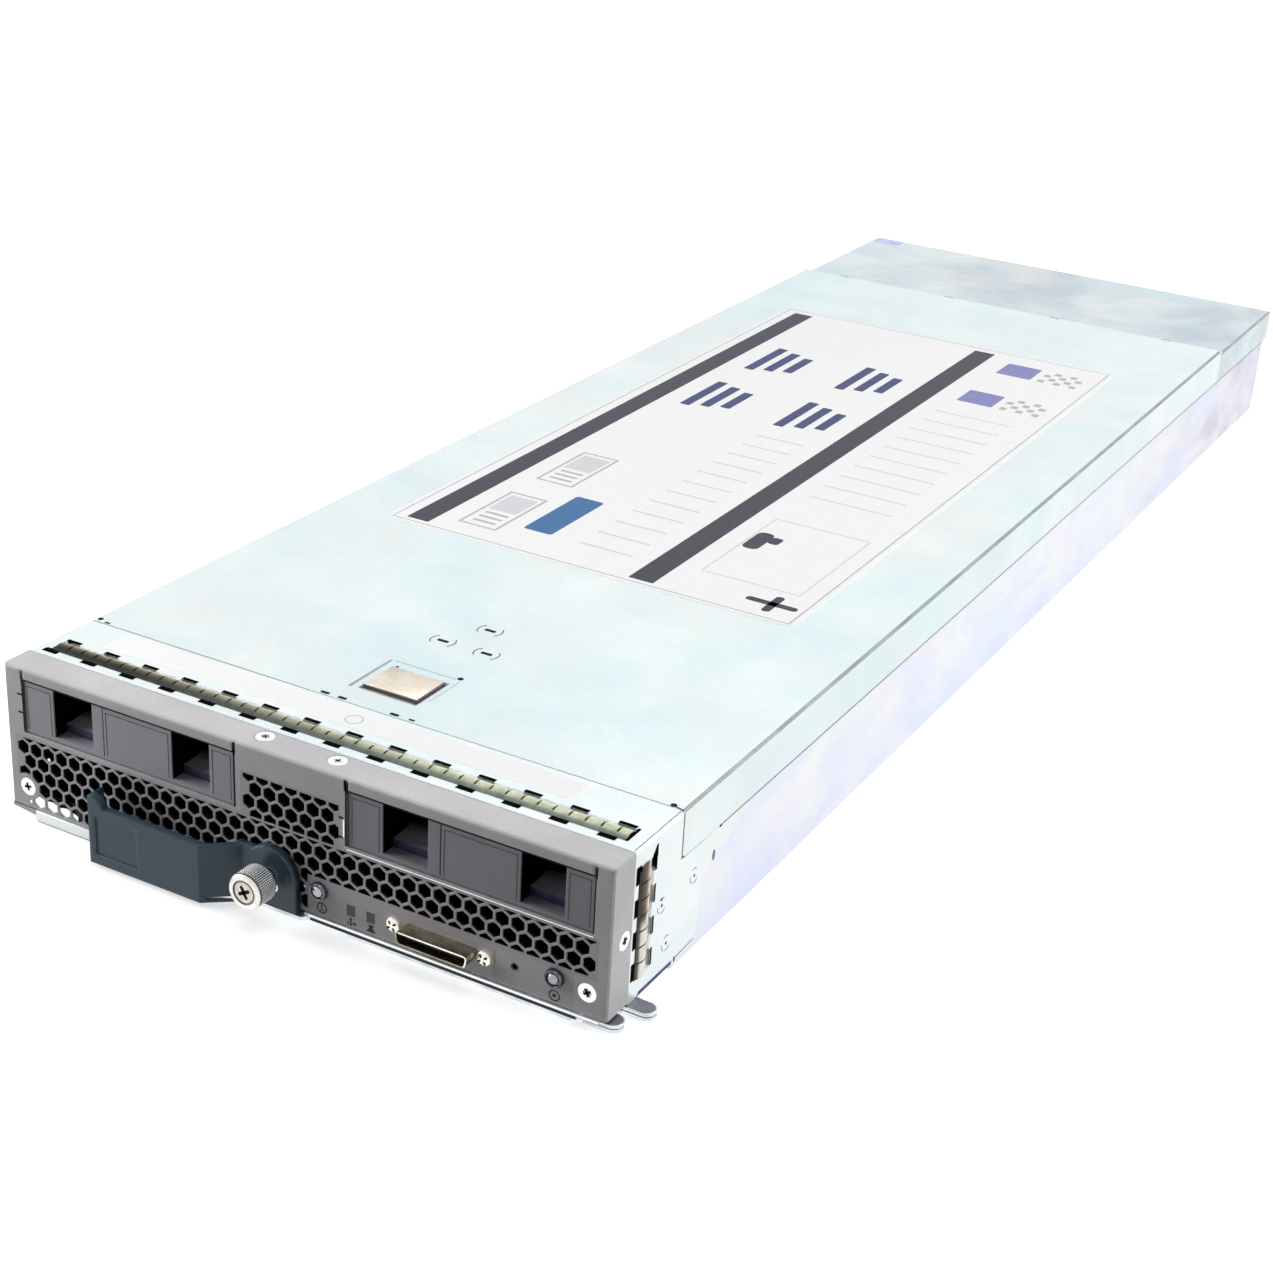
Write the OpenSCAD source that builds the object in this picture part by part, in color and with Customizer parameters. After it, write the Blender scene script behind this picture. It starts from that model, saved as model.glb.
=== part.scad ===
// Half-width blade server: sheet-metal tray, sliding top cover, hex-vented bezel,
// ejector lever with captive thumbscrew, two drive-bay blanks and the boards inside.
// X runs to the right seen from the front, Y to the back, Z up.
// The origin is at the centre of the tray's bottom face.

/* [Body] */
// Width over the cover flanges
body_w = 203; // [201:1:206]
// Depth from the bezel face to the rear edge of the cover
body_d = 620; // [612:2:640]
// Height from the tray bottom to the top of the cover
body_h = 49.4; // [49:0.2:52]
// Sheet thickness of the tray
tray_t = 1.0; // [0.8:0.1:1.2]
// Sheet thickness of the cover and of the front frame
cover_t = 0.8; // [0.6:0.1:0.9]
// Depth of the cover's side flanges, measured down from the top
flange_h = 14.6; // [12:0.2:16]
// Drop of the cover's rear step
step_drop = 1.6; // [1:0.1:1.8]
// Length of the lowered rear part of the cover
step_len = 84; // [60:2:100]
// Travel of the cover before it lifts off
cover_travel = 10; // [6:1:12]
// Sliding gap between the tray walls and the cover
slide_gap = 0.3; // [0.2:0.05:0.4]

/* [Front] */
// Height of the raised floor above the lever space
floor_lift = 3.4; // [3.2:0.1:3.8]
// Depth of the lever space under the raised floor
lever_bay_d = 36.5; // [35:0.5:38]
// How far the bezel wraps back over the body
bezel_d = 10.6; // [9.5:0.1:11.5]
// Thickness of the bezel face and its wraps
bezel_t = 1.4; // [1.2:0.1:1.6]
// Height of the bezel's lower edge
bezel_lift = 3.9; // [3.8:0.1:4.2]
// Distance from the bezel face to the front edge of the cover
cover_front = 36.6; // [36:0.2:40]
// Distance from the bezel face to the rear edge of the frame's side plates
side_plate_d = 49.6; // [48:0.2:52]

/* [Vents] */
// Distance between neighbouring hexagon centres
hex_pitch = 4.85; // [4.6:0.05:5.1]
// Width of the web between hexagons
hex_web = 0.8; // [0.6:0.1:1.2]
// Height of the first row of hexagons
hex_row0 = 7; // [6.8:0.1:7.2]
// Bar between the lower vent field and the bays
vent_bar = 1.2; // [1:0.1:1.8]
// Distance from the top down to the centre vent field
centre_vent_drop = 8.2; // [7.4:0.2:10]

/* [Drive bays] */
// Distance from the left side to the left bay
bay_left_edge = 6.7; // [6:0.1:8]
// Distance from the right side to the right bay
bay_right_edge = 5.3; // [5.2:0.1:8]
// Height of one bay opening
bay_h = 17.1; // [16:0.1:17.2]
// Distance from the top down to the lower edge of the bay openings
bay_drop = 20.6; // [20.2:0.1:20.8]
// Distance from mid-width to the inner edge of the left bay
bay_left_in = 18.2; // [17.8:0.1:18.4]
// Distance from mid-width to the inner edge of the right bay
bay_right_in = 19.6; // [19:0.1:20.2]
// Length of a blank from front to back
blank_d = 92; // [60:2:96]
// Gap between a blank and its bay
blank_gap = 0.35; // [0.25:0.05:0.5]
// Depth of the finger pockets in a blank
pocket_d = 15; // [12:0.5:18]
// Width of the finger pocket at the left of a blank
pocket_w = 14.4; // [12:0.2:16]

/* [Ejector lever] */
// Distance from the right side to the lever's pivot
pivot_inset = 12.5; // [11.5:0.5:15]
// Distance from the bezel face to the lever's pivot
pivot_y = 12.5; // [12:0.25:14]
// Radius of the pivot pin
pivot_r = 3; // [2:0.25:3.5]
// Thickness of each lever plate
lever_t = 1.0; // [0.8:0.05:1.1]
// Length of the grip's flat front
grip_len = 42; // [34:1:46]
// Distance from the bezel face to the grip's front
grip_out = 10; // [9:0.25:12]
// Height of the grip's top edge above the tray bottom
grip_top = 19.5; // [18:0.5:21]
// Wall thickness of the grip
grip_t = 2.6; // [2.2:0.1:3]

/* [Thumbscrew] */
// Distance from mid-width to the screw axis
thumb_x = 4.8; // [4:0.1:5.2]
// Height of the screw axis
thumb_z = 12.8; // [12.4:0.1:13.2]
// Radius of the knurled head
thumb_r = 5.6; // [5:0.1:6]
// Length of the knurled head
thumb_len = 7.8; // [6:0.2:9]
// Radius of the thread
thread_r = 2; // [1.5:0.25:2.5]
// Distance that the screw advances when tightened
thumb_travel = 2.8; // [2:0.1:2.9]

/* [Controls] */
// Height of the two push buttons
button_z = 12; // [11.6:0.1:12.2]
// Radius of the push buttons
button_r = 1.8; // [1.5:0.1:2]
// Travel of the push buttons
button_travel = 1.2; // [0.6:0.1:1.4]
// Position of the power button right of mid-width
power_x = 10.4; // [10:0.1:11]
// Height of the console connector
console_z = 8.8; // [8.6:0.1:9]
// Width of the console connector's shell
console_w = 23.2; // [21:0.2:24]
// Height of the console connector's shell
console_h = 7.2; // [6.8:0.1:7.4]
// How far the console connector stands out
console_out = 5.2; // [4:0.2:7]
// How far the two jack posts stand out
post_out = 2.2; // [1.6:0.1:4]
// Distance between the two jack posts
jack_spacing = 29.2; // [28.8:0.1:29.6]
// Radius of the tapped hole in a jack post
jack_bore_r = 1.2; // [1:0.05:1.4]

/* [Release button] */
// Width of the release button
release_w = 18; // [14:0.5:20]
// Length of the release button
release_l = 14.2; // [12:0.2:16]
// Distance from the bezel face to the button's front edge
release_y = 47.8; // [47:0.2:49]
// Travel of the release button
release_travel = 1.5; // [1:0.1:1.6]
// Gap round the release button
release_gap = 1; // [0.6:0.1:1.2]

/* [Board] */
// Height of the board stand-offs above the floor
standoff_h = 5; // [4.6:0.1:5.4]
// Thickness of the boards
board_t = 1.6; // [1.2:0.1:1.8]
// Memory modules in each group beside a processor
modules_per_side = 6; // [2:1:6]
// Distance between neighbouring memory modules
module_pitch = 8.4; // [8:0.1:8.4]
// Length of a memory module
module_len = 133.35; // [120:0.05:134]
// Height of a memory module
module_h = 30; // [26:0.5:31]
// Width of a processor heat sink
sink_w = 88; // [76:1:90]
// Depth of a processor heat sink
sink_d = 92; // [80:1:96]
// Height of a processor heat sink with its base
sink_h = 29; // [24:0.5:30]
// Number of fins on a heat sink
sink_fins = 24; // [12:1:28]
// Distance from the bezel face to the front processor
cpu_front_y = 196; // [190:1:200]
// Distance between the two processors
cpu_pitch_y = 158; // [152:1:164]

/* [Label] */
// Distance from each side to the label
label_side = 24.8; // [20:0.1:40]
// Distance from the bezel face to the label's front edge
label_front = 157; // [140:1:200]
// Distance from the cover's rear edge to the label
label_rear = 149; // [120:1:200]

/* [Rear] */
// Distance from the cover's rear edge to the tray's rear edge
tray_short = 1.6; // [1:0.1:3]
// Distance from the tray's rear edge to the rear panel
panel_inset = 6; // [4:0.5:8]
// Width of the midplane connector
plug_w = 96; // [80:2:100]
// Height of the midplane connector
plug_h = 18; // [14:0.5:20]
// Radius of the guide sockets' bores
guide_r = 4; // [3:0.25:4.5]
// Depth of the guide sockets' bores
guide_len = 16; // [10:1:18]
// Distance from mid-width to each guide socket
guide_x = 62; // [60:1:70]

/* [Hidden] */

// small clearance used between pieces that don't touch
air = 0.3;
// chamfer on the bezel's front edges
edge = 0.6;
front_y = -body_d / 2;
half_w = body_w / 2;
tray_half = half_w - cover_t - slide_gap;
tray_in = tray_half - tray_t;
tray_end = body_d - tray_short;
wall_top = body_h - cover_t - air;
step_y = body_d - step_len;
rear_wall_top = wall_top - step_drop;
frame_front = bezel_d + 0.1;
raised_z = floor_lift + tray_t;
flange_z = body_h - flange_h;
panel_y = tray_end - panel_inset;
pivot_x = half_w - pivot_inset;
bay_z = body_h - bay_drop;
vent_top = bay_z - vent_bar;
centre_vent_top = body_h - centre_vent_drop;
// left edge and width of each bay
bay_left = [bay_left_edge - half_w, half_w - bay_left_edge - bay_left_in];
bay_right = [bay_right_in, half_w - bay_right_edge - bay_right_in];
bays = [bay_left, bay_right];
board_z = tray_t + standoff_h;
board_top = board_z + board_t;
board_front = lever_bay_d + 5;
board_back = panel_y - 2;
board_half = tray_in - 1.4;
lever_z = floor_lift - air - lever_t;
doubler_z = lever_z - lever_t - air;
cpu_y = [cpu_front_y, cpu_front_y + cpu_pitch_y];
hex_rows = 9;
hex_row_pitch = hex_pitch * sqrt(3) / 2;
hex_r = (hex_pitch - hex_web) / sqrt(3);
hex_x0 = 1.1;
vent_left = -half_w + 3;
vent_right = half_w - 3.6;
vent_bottom = bezel_lift + 1;
centre_vent_l = 2.3 - bay_left_in;
centre_vent_r = bay_right_in - 2.1;
strip_top = 15.2;
strip_left = power_x - 3.4;
strip_right = half_w - 10.2;
light_w = 2.8;
light_h = 3.4;
ring_w = 2 * (button_r + 0.9);
reset_z = button_z - 1.4;
reset_w = 4.4;
post_r = 2.9;
console_span = jack_spacing + 2 * post_r;
// what the controls leave free on their strip, shared out between them
spare = strip_right - strip_left - 2 * ring_w - 2 * light_w - console_span - reset_w;
share = spare / 28.5;
light_x1 = power_x + ring_w / 2 + 6.5 * share + light_w / 2;
light_x2 = light_x1 + light_w + 3.7 * share;
console_x = light_x2 + light_w / 2 + 2.8 * share + console_span / 2;
reset_x = console_x + console_span / 2 + 4.4 * share + reset_w / 2;
locator_x = reset_x + reset_w / 2 + 7.4 * share + ring_w / 2;
gasket_pitch = hex_pitch;
gasket_y0 = 14.2;
gasket_y1 = 21;
gasket_half = half_w - 5.1;
gasket_bulge = 0.9;
slot_count = 14;
slot_pitch = (2 * gasket_half - 5.6) / (slot_count - 1);
slot_shift = 1.6;
slot_w = 5.4;
slot_d = 1.6;
side_gasket_z0 = 9;
side_gasket_z1 = body_h - 6;
screw_head_r = 2.9;
// depth of the recess round a screw head
screw_sink = 1;
corner_screw_x = half_w - 6.3;
corner_screw_z = 10.8;
top_screw_x = [-12.8, 11.5];
top_screw_y = 7.1;
side_screw_y = 7.3;
side_screw_z = 24.9;
flat_front = 2.4;
flat_back = 0.2;
boss_r = 8.9;
boss_right = boss_r - thumb_x;
head_back = flat_front + thumb_travel + 0.6;
control_y = 8;

// moves a piece that is measured from the bezel face into the frame of the whole object
module at_front() {
    translate([0, front_y, 0]) children();
}

// a block between two opposite corners
module block(x0, x1, y0, y1, z0, z1) {
    translate([x0, y0, z0]) cube([x1 - x0, y1 - y0, z1 - z0]);
}

// a (Y, Z) outline drawn out along X
module along_x(x0, x1) {
    translate([x0, 0, 0]) rotate([90, 0, 90]) linear_extrude(x1 - x0) children();
}

// an (X, Z) outline drawn out along Y
module along_y(y0, y1) {
    translate([0, y1, 0]) rotate([90, 0, 0]) linear_extrude(y1 - y0) children();
}

// a round bar along Y
module bar_y(x, z, r, y0, y1) {
    translate([x, y0, z]) rotate([-90, 0, 0]) cylinder(r = r, h = y1 - y0, $fn = 40);
}

// a round bar along Z
module bar_z(x, y, r, z0, z1) {
    translate([x, y, z0]) cylinder(r = r, h = z1 - z0, $fn = 40);
}

// a round bar along X
module bar_x(y, z, r, x0, x1) {
    translate([x0, y, z]) rotate([0, 90, 0]) cylinder(r = r, h = x1 - x0, $fn = 40);
}

// the outline of a channel that is open below, with rounded upper corners
module channel(half, top, low, t, r = 1.4) {
    difference() {
        union() {
            translate([-half, low]) square([2 * half, top - low - r]);
            translate([-half + r, low]) square([2 * (half - r), top - low]);
            for (s = [-1, 1]) {
                translate([s * (half - r), top - r]) circle(r = r, $fn = 32);
            }
        }
        translate([-half + t, low - 1]) square([2 * (half - t), top - t - low + 1]);
    }
}

// a rectangle with rounded corners, centred
module rounded(w, h, r) {
    square([w - 2 * r, h], center = true);
    square([w, h - 2 * r], center = true);
    for (sx = [-1, 1]) {
        for (sy = [-1, 1]) {
            translate([sx * (w / 2 - r), sy * (h / 2 - r)]) circle(r = r, $fn = 32);
        }
    }
}

// ---------- tray ----------

stud_y = [lever_bay_d + 40, body_d * 0.45, step_y - 45];
stud_r = 1.6;
stud_z = flange_z + 7;

module base_tray() {
    floor_points = [
        [2, floor_lift], [lever_bay_d, floor_lift], [lever_bay_d, 0], [tray_end - 4, 0],
        [tray_end, tray_t], [tray_end - 4, tray_t], [lever_bay_d + tray_t, tray_t],
        [lever_bay_d + tray_t, raised_z], [2, raised_z]
    ];
    wall_points = [
        [frame_front + 1, floor_lift], [lever_bay_d, floor_lift], [lever_bay_d, 0], [tray_end - 4, 0],
        [tray_end, 4], [tray_end, rear_wall_top], [step_y - 4, rear_wall_top],
        [step_y - 6, wall_top], [frame_front + 1, wall_top]
    ];
    color("#D9D8EE") at_front() difference() {
        union() {
            along_x(-tray_half, tray_half) polygon(floor_points);
            along_x(-tray_half, -tray_in) polygon(wall_points);
            along_x(tray_in, tray_half) polygon(wall_points);
            // upturned lip behind the lower left corner of the vent
            block(vent_left + 1, vent_left + 24, 6, 6 + tray_t, raised_z - 0.5, raised_z + 5);
            // ledge that carries the control board
            block(strip_left + 4, pivot_x - pivot_r - 3, control_y + board_t + 0.1, control_y + board_t + 1.1,
                raised_z - 0.5, raised_z + 6);
        }
        // L-shaped slots that take the cover's studs
        for (y = stud_y) {
            for (s = [-1, 1]) {
                translate([s * tray_half, 0, 0]) {
                    block(-3, 3, y - stud_r - air, y + cover_travel + stud_r + air,
                        stud_z - stud_r - air, stud_z + stud_r + air);
                    block(-3, 3, y + cover_travel - stud_r - air, y + cover_travel + stud_r + air,
                        stud_z, body_h);
                }
            }
        }
        // front corners cut back inside the bezel's wraps
        for (s = [-1, 1]) {
            translate([s * tray_half, 0, 0])
                block(-body_w / 2 + tray_half + bezel_t + 0.1 - tray_t, 1, 0, frame_front, 0, raised_z + 1);
        }
        // hole for the lever's pivot pin
        bar_z(pivot_x, pivot_y, pivot_r - 0.8, floor_lift - 1, raised_z + 1);
    }
}

// ---------- front frame ----------

module side_plate_outline() {
    polygon([
        [frame_front, floor_lift - 0.2], [lever_bay_d + 0.6, floor_lift - 0.2],
        [side_plate_d - 1, floor_lift + 3], [side_plate_d, flange_z - air],
        [cover_front - air, flange_z - air], [cover_front - air, body_h], [frame_front, body_h]
    ]);
}

module front_frame() {
    color("#E6F1F4") at_front() difference() {
        union() {
            intersection() {
                along_y(frame_front, side_plate_d) channel(half_w, body_h, floor_lift - 0.2, cover_t);
                along_x(-half_w, half_w) side_plate_outline();
            }
            // joggled tongue that the bezel slips over
            along_y(bezel_t + 0.6, frame_front + cover_t)
                channel(half_w - bezel_t - 0.1, body_h - bezel_t - 0.1, floor_lift + tray_t, cover_t);
            along_y(frame_front, frame_front + cover_t)
                channel(half_w, body_h, floor_lift + tray_t, bezel_t + 0.1 + cover_t);
            // lugs behind the two front screws
            for (s = [-1, 1]) {
                block(s * corner_screw_x - 4.6, s * corner_screw_x + 4.6, bezel_t + 0.6, bezel_t + 0.6 + cover_t,
                    raised_z, corner_screw_z + 5.2);
            }
        }
        // window for the spring fingers of the top
        block(-gasket_half, gasket_half, gasket_y0, gasket_y1, body_h - 3 * cover_t, body_h + 1);
        for (i = [0 : slot_count - 1]) {
            x = -gasket_half + slot_w / 2 - 0.7 + i * slot_pitch;
            block(x - slot_w / 2 - slot_shift, x + slot_w / 2 - slot_shift, gasket_y0 - slot_d, gasket_y0 + 1,
                body_h - cover_t - 0.1, body_h + 1);
            block(x - slot_w / 2, x + slot_w / 2, gasket_y1, gasket_y1 + slot_d,
                body_h - cover_t - 0.1, body_h + 1);
        }
        // windows for the spring fingers of the sides
        for (s = [-1, 1]) {
            translate([s * half_w, 0, 0]) {
                block(-cover_t - 0.1, 1, gasket_y0 - 1.2, gasket_y1, side_gasket_z0, side_gasket_z1);
                for (i = [0 : 3]) {
                    z = side_gasket_z0 + 0.7 + i * 2 * gasket_pitch;
                    block(-cover_t - 0.1, 1, gasket_y0 - 1.2 - slot_d, gasket_y0, z, z + slot_w);
                    block(-cover_t - 0.1, 1, gasket_y1 - 1, gasket_y1 + slot_d, z, z + slot_w);
                }
            }
        }
        for (x = top_screw_x) {
            bar_z(x, top_screw_y, 1.5, body_h - 8, body_h - bezel_t);
        }
        for (s = [-1, 1]) {
            bar_y(s * corner_screw_x, corner_screw_z, 1.5, 0, 6);
            bar_x(side_screw_y, side_screw_z, 1.5, s * (half_w - 2) - 3, s * (half_w - 2) + 3);
        }
    }
}

// ---------- bezel and vents ----------

module bay_windows(grow = 0) {
    for (b = bays) {
        translate([b[0] - grow, bay_z - grow]) square([b[1] + 2 * grow, bay_h + 2 * grow]);
    }
}

module lower_vent_outline() {
    difference() {
        translate([vent_left, vent_bottom]) square([vent_right - vent_left, vent_top - vent_bottom]);
        translate([strip_left, 0]) square([body_w, strip_top]);
        // solid corner round the left front screw
        translate([-corner_screw_x, corner_screw_z]) circle(r = screw_head_r + 0.8, $fn = 40);
        translate([-half_w, 0]) square([half_w - corner_screw_x, corner_screw_z + screw_head_r + 0.8]);
    }
}

module centre_vent_outline() {
    translate([centre_vent_l, vent_top]) square([centre_vent_r - centre_vent_l, centre_vent_top - vent_top]);
}

module front_bezel() {
    color("#6E6D75") at_front() difference() {
        intersection() {
            along_y(0, bezel_d) translate([-half_w, bezel_lift]) square([body_w, body_h - bezel_lift]);
            along_x(-half_w, half_w) polygon([
                [0, 0], [bezel_d, 0], [bezel_d, body_h], [edge, body_h], [0, body_h - edge]
            ]);
            linear_extrude(body_h) polygon([
                [-half_w, edge], [-half_w + edge, 0], [half_w - edge, 0], [half_w, edge],
                [half_w, bezel_d], [-half_w, bezel_d]
            ]);
        }
        // hollow behind the face
        block(-half_w + bezel_t, half_w - bezel_t, bezel_t, body_d, 0, body_h - bezel_t);
        along_y(-1, bezel_t + 1) bay_windows();
        along_y(-1, bezel_t + 1) lower_vent_outline();
        along_y(-1, bezel_t + 1) centre_vent_outline();
        block(strip_left, strip_right, -1, bezel_t + 1, 0, strip_top);
        // relief notches above the bays
        for (b = bays, x = [b[0], b[0] + b[1]]) {
            block(x - 0.5, x + 0.5, -1, 2.6, bay_z + bay_h - 1, body_h - 0.8);
        }
        for (x = top_screw_x) {
            bar_z(x, top_screw_y, screw_head_r, body_h - screw_sink, body_h + 1);
            bar_z(x, top_screw_y, 1.6, body_h - bezel_t - 1, body_h);
        }
        for (s = [-1, 1]) {
            bar_y(s * corner_screw_x, corner_screw_z, screw_head_r, -1, screw_sink);
            bar_y(s * corner_screw_x, corner_screw_z, 1.6, 0, bezel_t + 1);
            translate([s * half_w, 0, 0]) {
                bar_x(side_screw_y, side_screw_z, screw_head_r, s > 0 ? -screw_sink : -1, s > 0 ? 1 : screw_sink);
                bar_x(side_screw_y, side_screw_z, 1.6, -2, 2);
            }
        }
    }
}

module hexagons(z_low, z_high, x_low, x_high) {
    for (row = [0 : hex_rows]) {
        z = hex_row0 + row * hex_row_pitch;
        shift = (row % 2) * hex_pitch / 2;
        for (k = [-21 : 21]) {
            x = hex_x0 + shift + k * hex_pitch;
            if (x > x_low && x < x_high && z > z_low && z < z_high) {
                translate([x, z]) rotate(30) circle(r = hex_r, $fn = 6);
            }
        }
    }
}

module lower_grille() {
    color("#6E6D75") at_front() difference() {
        along_y(0, bezel_t) difference() {
            lower_vent_outline();
            intersection() {
                difference() {
                    translate([vent_left + 0.6, 0]) square([vent_right - vent_left - 1.2, vent_top - 0.6]);
                    translate([strip_left - 0.6, 0]) square([body_w, strip_top + 0.6]);
                    translate([-thumb_x, thumb_z]) circle(r = 6.6, $fn = 48);
                    translate([-corner_screw_x, corner_screw_z]) circle(r = screw_head_r + 1.4, $fn = 48);
                }
                hexagons(vent_bottom, vent_top + 1, vent_left + 1, vent_right - 1);
            }
        }
        bar_y(-thumb_x, thumb_z, thread_r + 1.5, -1, bezel_t + 1);
    }
}

module centre_grille() {
    color("#6E6D75") at_front() along_y(0, bezel_t) difference() {
        centre_vent_outline();
        intersection() {
            translate([centre_vent_l + 0.6, vent_top]) square([centre_vent_r - centre_vent_l - 1.2,
                centre_vent_top - vent_top - 0.6]);
            hexagons(vent_top - 1, centre_vent_top + 1, centre_vent_l + 1, centre_vent_r - 1);
        }
    }
}

light_x = [light_x1, light_x2];
light_z = 9.2;

module control_panel() {
    color("#6A6972") at_front() difference() {
        block(strip_left, strip_right, 0, bezel_t, bezel_lift, strip_top);
        for (x = [power_x, locator_x]) {
            bar_y(x, button_z, button_r + 0.9, -1, bezel_t + 1);
        }
        bar_y(reset_x, reset_z, 0.9, -1, bezel_t + 1);
        for (x = light_x) {
            block(x - light_w / 2, x + light_w / 2, -1, bezel_t + 1, light_z - light_h / 2,
                light_z + light_h / 2);
        }
        translate([console_x, 0, console_z]) along_y(-1, bezel_t + 1) rounded(console_w, console_h, 1.6);
        for (s = [-1, 1]) {
            bar_y(console_x + s * jack_spacing / 2, console_z, 1.6, -1, bezel_t + 1);
        }
    }
}

// a flat cross-recess screw head with its shank, along +Z, with the top at the origin
module flat_screw(len) {
    difference() {
        union() {
            translate([0, 0, -0.9]) cylinder(r = screw_head_r - 0.1, h = 0.9, $fn = 32);
            translate([0, 0, -len]) cylinder(r = 1.4, h = len - 0.5, $fn = 24);
        }
        translate([0, 0, -0.2]) cube([0.6, 2.6, 1], center = true);
        translate([0, 0, -0.2]) cube([2.6, 0.6, 1], center = true);
    }
}

module bezel_screws() {
    color("#E4E8EA") at_front() {
        for (x = top_screw_x) {
            translate([x, top_screw_y, body_h - 0.05]) flat_screw(3.4);
        }
        for (s = [-1, 1]) {
            translate([s * corner_screw_x, 0.05, corner_screw_z]) rotate([90, 0, 0]) flat_screw(4);
            translate([s * (half_w - 0.05), side_screw_y, side_screw_z]) rotate([0, s * 90, 0]) flat_screw(3.4);
        }
    }
}

// ---------- spring-finger gaskets ----------

// the (Y, Z) outline of one row of spring fingers, with its two clip flanges
module finger_outline(y0, y1, top, bulge) {
    mid = (y0 + y1) / 2;
    half = (y1 - y0) / 2 - 0.3;
    rise = bulge + cover_t;
    r = (half * half + rise * rise) / (2 * rise);
    intersection() {
        difference() {
            translate([mid, top + bulge - r]) circle(r = r, $fn = 96);
            translate([mid, top + bulge - r]) circle(r = r - 0.25, $fn = 96);
        }
        translate([mid - half - 0.4, top - cover_t - 0.1]) square([2 * half + 0.8, 4]);
    }
    translate([mid - half - 1.7, top - cover_t - 0.3]) square([2, 0.3]);
    translate([mid + half - 0.3, top - cover_t - 0.3]) square([2, 0.3]);
}

module top_gasket() {
    color("#B9BBA0") at_front() difference() {
        along_x(-gasket_half + 0.3, gasket_half - 0.3)
            finger_outline(gasket_y0, gasket_y1, body_h, gasket_bulge);
        for (x = [-gasket_half + gasket_pitch : gasket_pitch : gasket_half - 1]) {
            block(x - 0.3, x + 0.3, gasket_y0 + 0.8, gasket_y1 - 0.8, body_h - cover_t - 0.1, body_h + 2);
        }
    }
}

module side_gaskets() {
    color("#A99E84") at_front() for (s = [0, 1]) {
        mirror([s, 0, 0]) translate([half_w, 0, side_gasket_z0]) difference() {
            linear_extrude(side_gasket_z1 - side_gasket_z0) mirror([1, -1, 0])
                finger_outline(gasket_y0 - 1.2, gasket_y1, 0, 0.5);
            for (z = [gasket_pitch : gasket_pitch : side_gasket_z1 - side_gasket_z0 - 1]) {
                block(-cover_t - 0.1, cover_t + 0.1, gasket_y0 - 0.2, gasket_y1 - 0.9, z - 0.3, z + 0.3);
            }
        }
    }
}

// ---------- boards and what they carry ----------

module system_board() {
    color("#2F5A3C") at_front() difference() {
        block(-board_half, board_half, board_front, board_back, board_z, board_top);
        for (x = standoff_x) {
            for (y = standoff_y) {
                bar_z(x, y, 1.7, board_z - 1, board_top + 1);
            }
        }
    }
}

standoff_x = [-board_half + 4, board_half - 4];
standoff_y = [board_front + 12, cpu_front_y + cpu_pitch_y / 2, board_back - 40];

module board_standoffs() {
    color("#C9B46A") at_front() for (x = standoff_x) {
        for (y = standoff_y) {
            difference() {
                translate([x, y, tray_t]) cylinder(r = 3, h = standoff_h, $fn = 6);
                bar_z(x, y, 1.5, tray_t + 1, board_z + 1);
            }
        }
    }
}

module board_screws() {
    color("#D8DADC") at_front() for (x = standoff_x) {
        for (y = standoff_y) {
            difference() {
                union() {
                    bar_z(x, y, 1.5, tray_t + 2, board_top + 1);
                    bar_z(x, y, 2.8, board_top, board_top + 1.8);
                }
                block(x - 0.4, x + 0.4, y - 1.6, y + 1.6, board_top + 1, board_top + 2);
                block(x - 1.6, x + 1.6, y - 0.4, y + 0.4, board_top + 1, board_top + 2);
            }
        }
    }
}

socket_h = 3.6;
lid_h = 2.6;
sink_z = board_top + socket_h + lid_h;
sink_base = 3;

module processor_sockets() {
    color("#3A3A3E") at_front() for (y = cpu_y) {
        difference() {
            block(-29, 29, y - 26, y + 26, board_top, board_top + socket_h + 1.2);
            block(-23, 23, y - 21, y + 21, board_top + socket_h, board_top + socket_h + 3);
        }
    }
}

module processors() {
    color("#C6C8CA") at_front() for (y = cpu_y) {
        block(-22.5, 22.5, y - 20.5, y + 20.5, board_top + socket_h, board_top + socket_h + 1.4);
        block(-18, 18, y - 17, y + 17, board_top + socket_h + 1.4, sink_z);
    }
}

module heat_sink(y) {
    ledge = 12;
    difference() {
        block(-sink_w / 2, sink_w / 2, y - sink_d / 2, y + sink_d / 2, sink_z, sink_z + sink_base);
        sink_corners(y) bar_z(0, 0, 2.2, sink_z - 1, sink_z + sink_base + 1);
    }
    for (i = [0 : sink_fins - 1]) {
        x = -sink_w / 2 + i * (sink_w - 0.6) / (sink_fins - 1);
        block(x, x + 0.6, y - sink_d / 2 + ledge, y + sink_d / 2 - ledge,
            sink_z + sink_base, sink_z + sink_h);
    }
}

module sink_corners(y) {
    for (sx = [-1, 1]) {
        for (sy = [-1, 1]) {
            translate([sx * (sink_w / 2 - 6), y + sy * (sink_d / 2 - 6), 0]) children();
        }
    }
}

module heat_sink_front() {
    color("#BFC4C8") at_front() heat_sink(cpu_y[0]);
}

module heat_sink_rear() {
    color("#BFC4C8") at_front() heat_sink(cpu_y[1]);
}

module heat_sink_screws() {
    color("#D0D3D6") at_front() for (y = cpu_y) {
        sink_corners(y) {
            bar_z(0, 0, 2.1, board_top, sink_z + sink_base + 4);
            bar_z(0, 0, 4, sink_z + sink_base, sink_z + sink_base + 4);
        }
    }
}

module_x0 = sink_w / 2 + 7.3;
module_slot_z = board_top + 3;
// as many modules beside a processor as the board has room for
module_count = min(modules_per_side, floor((board_half - 3.4 - module_x0) / module_pitch) + 1);

// places its children at each memory socket
module memory_places() {
    for (y = cpu_y) {
        for (s = [-1, 1]) {
            for (i = [0 : module_count - 1]) {
                translate([s * (module_x0 + i * module_pitch), y, 0]) children();
            }
        }
    }
}

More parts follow.
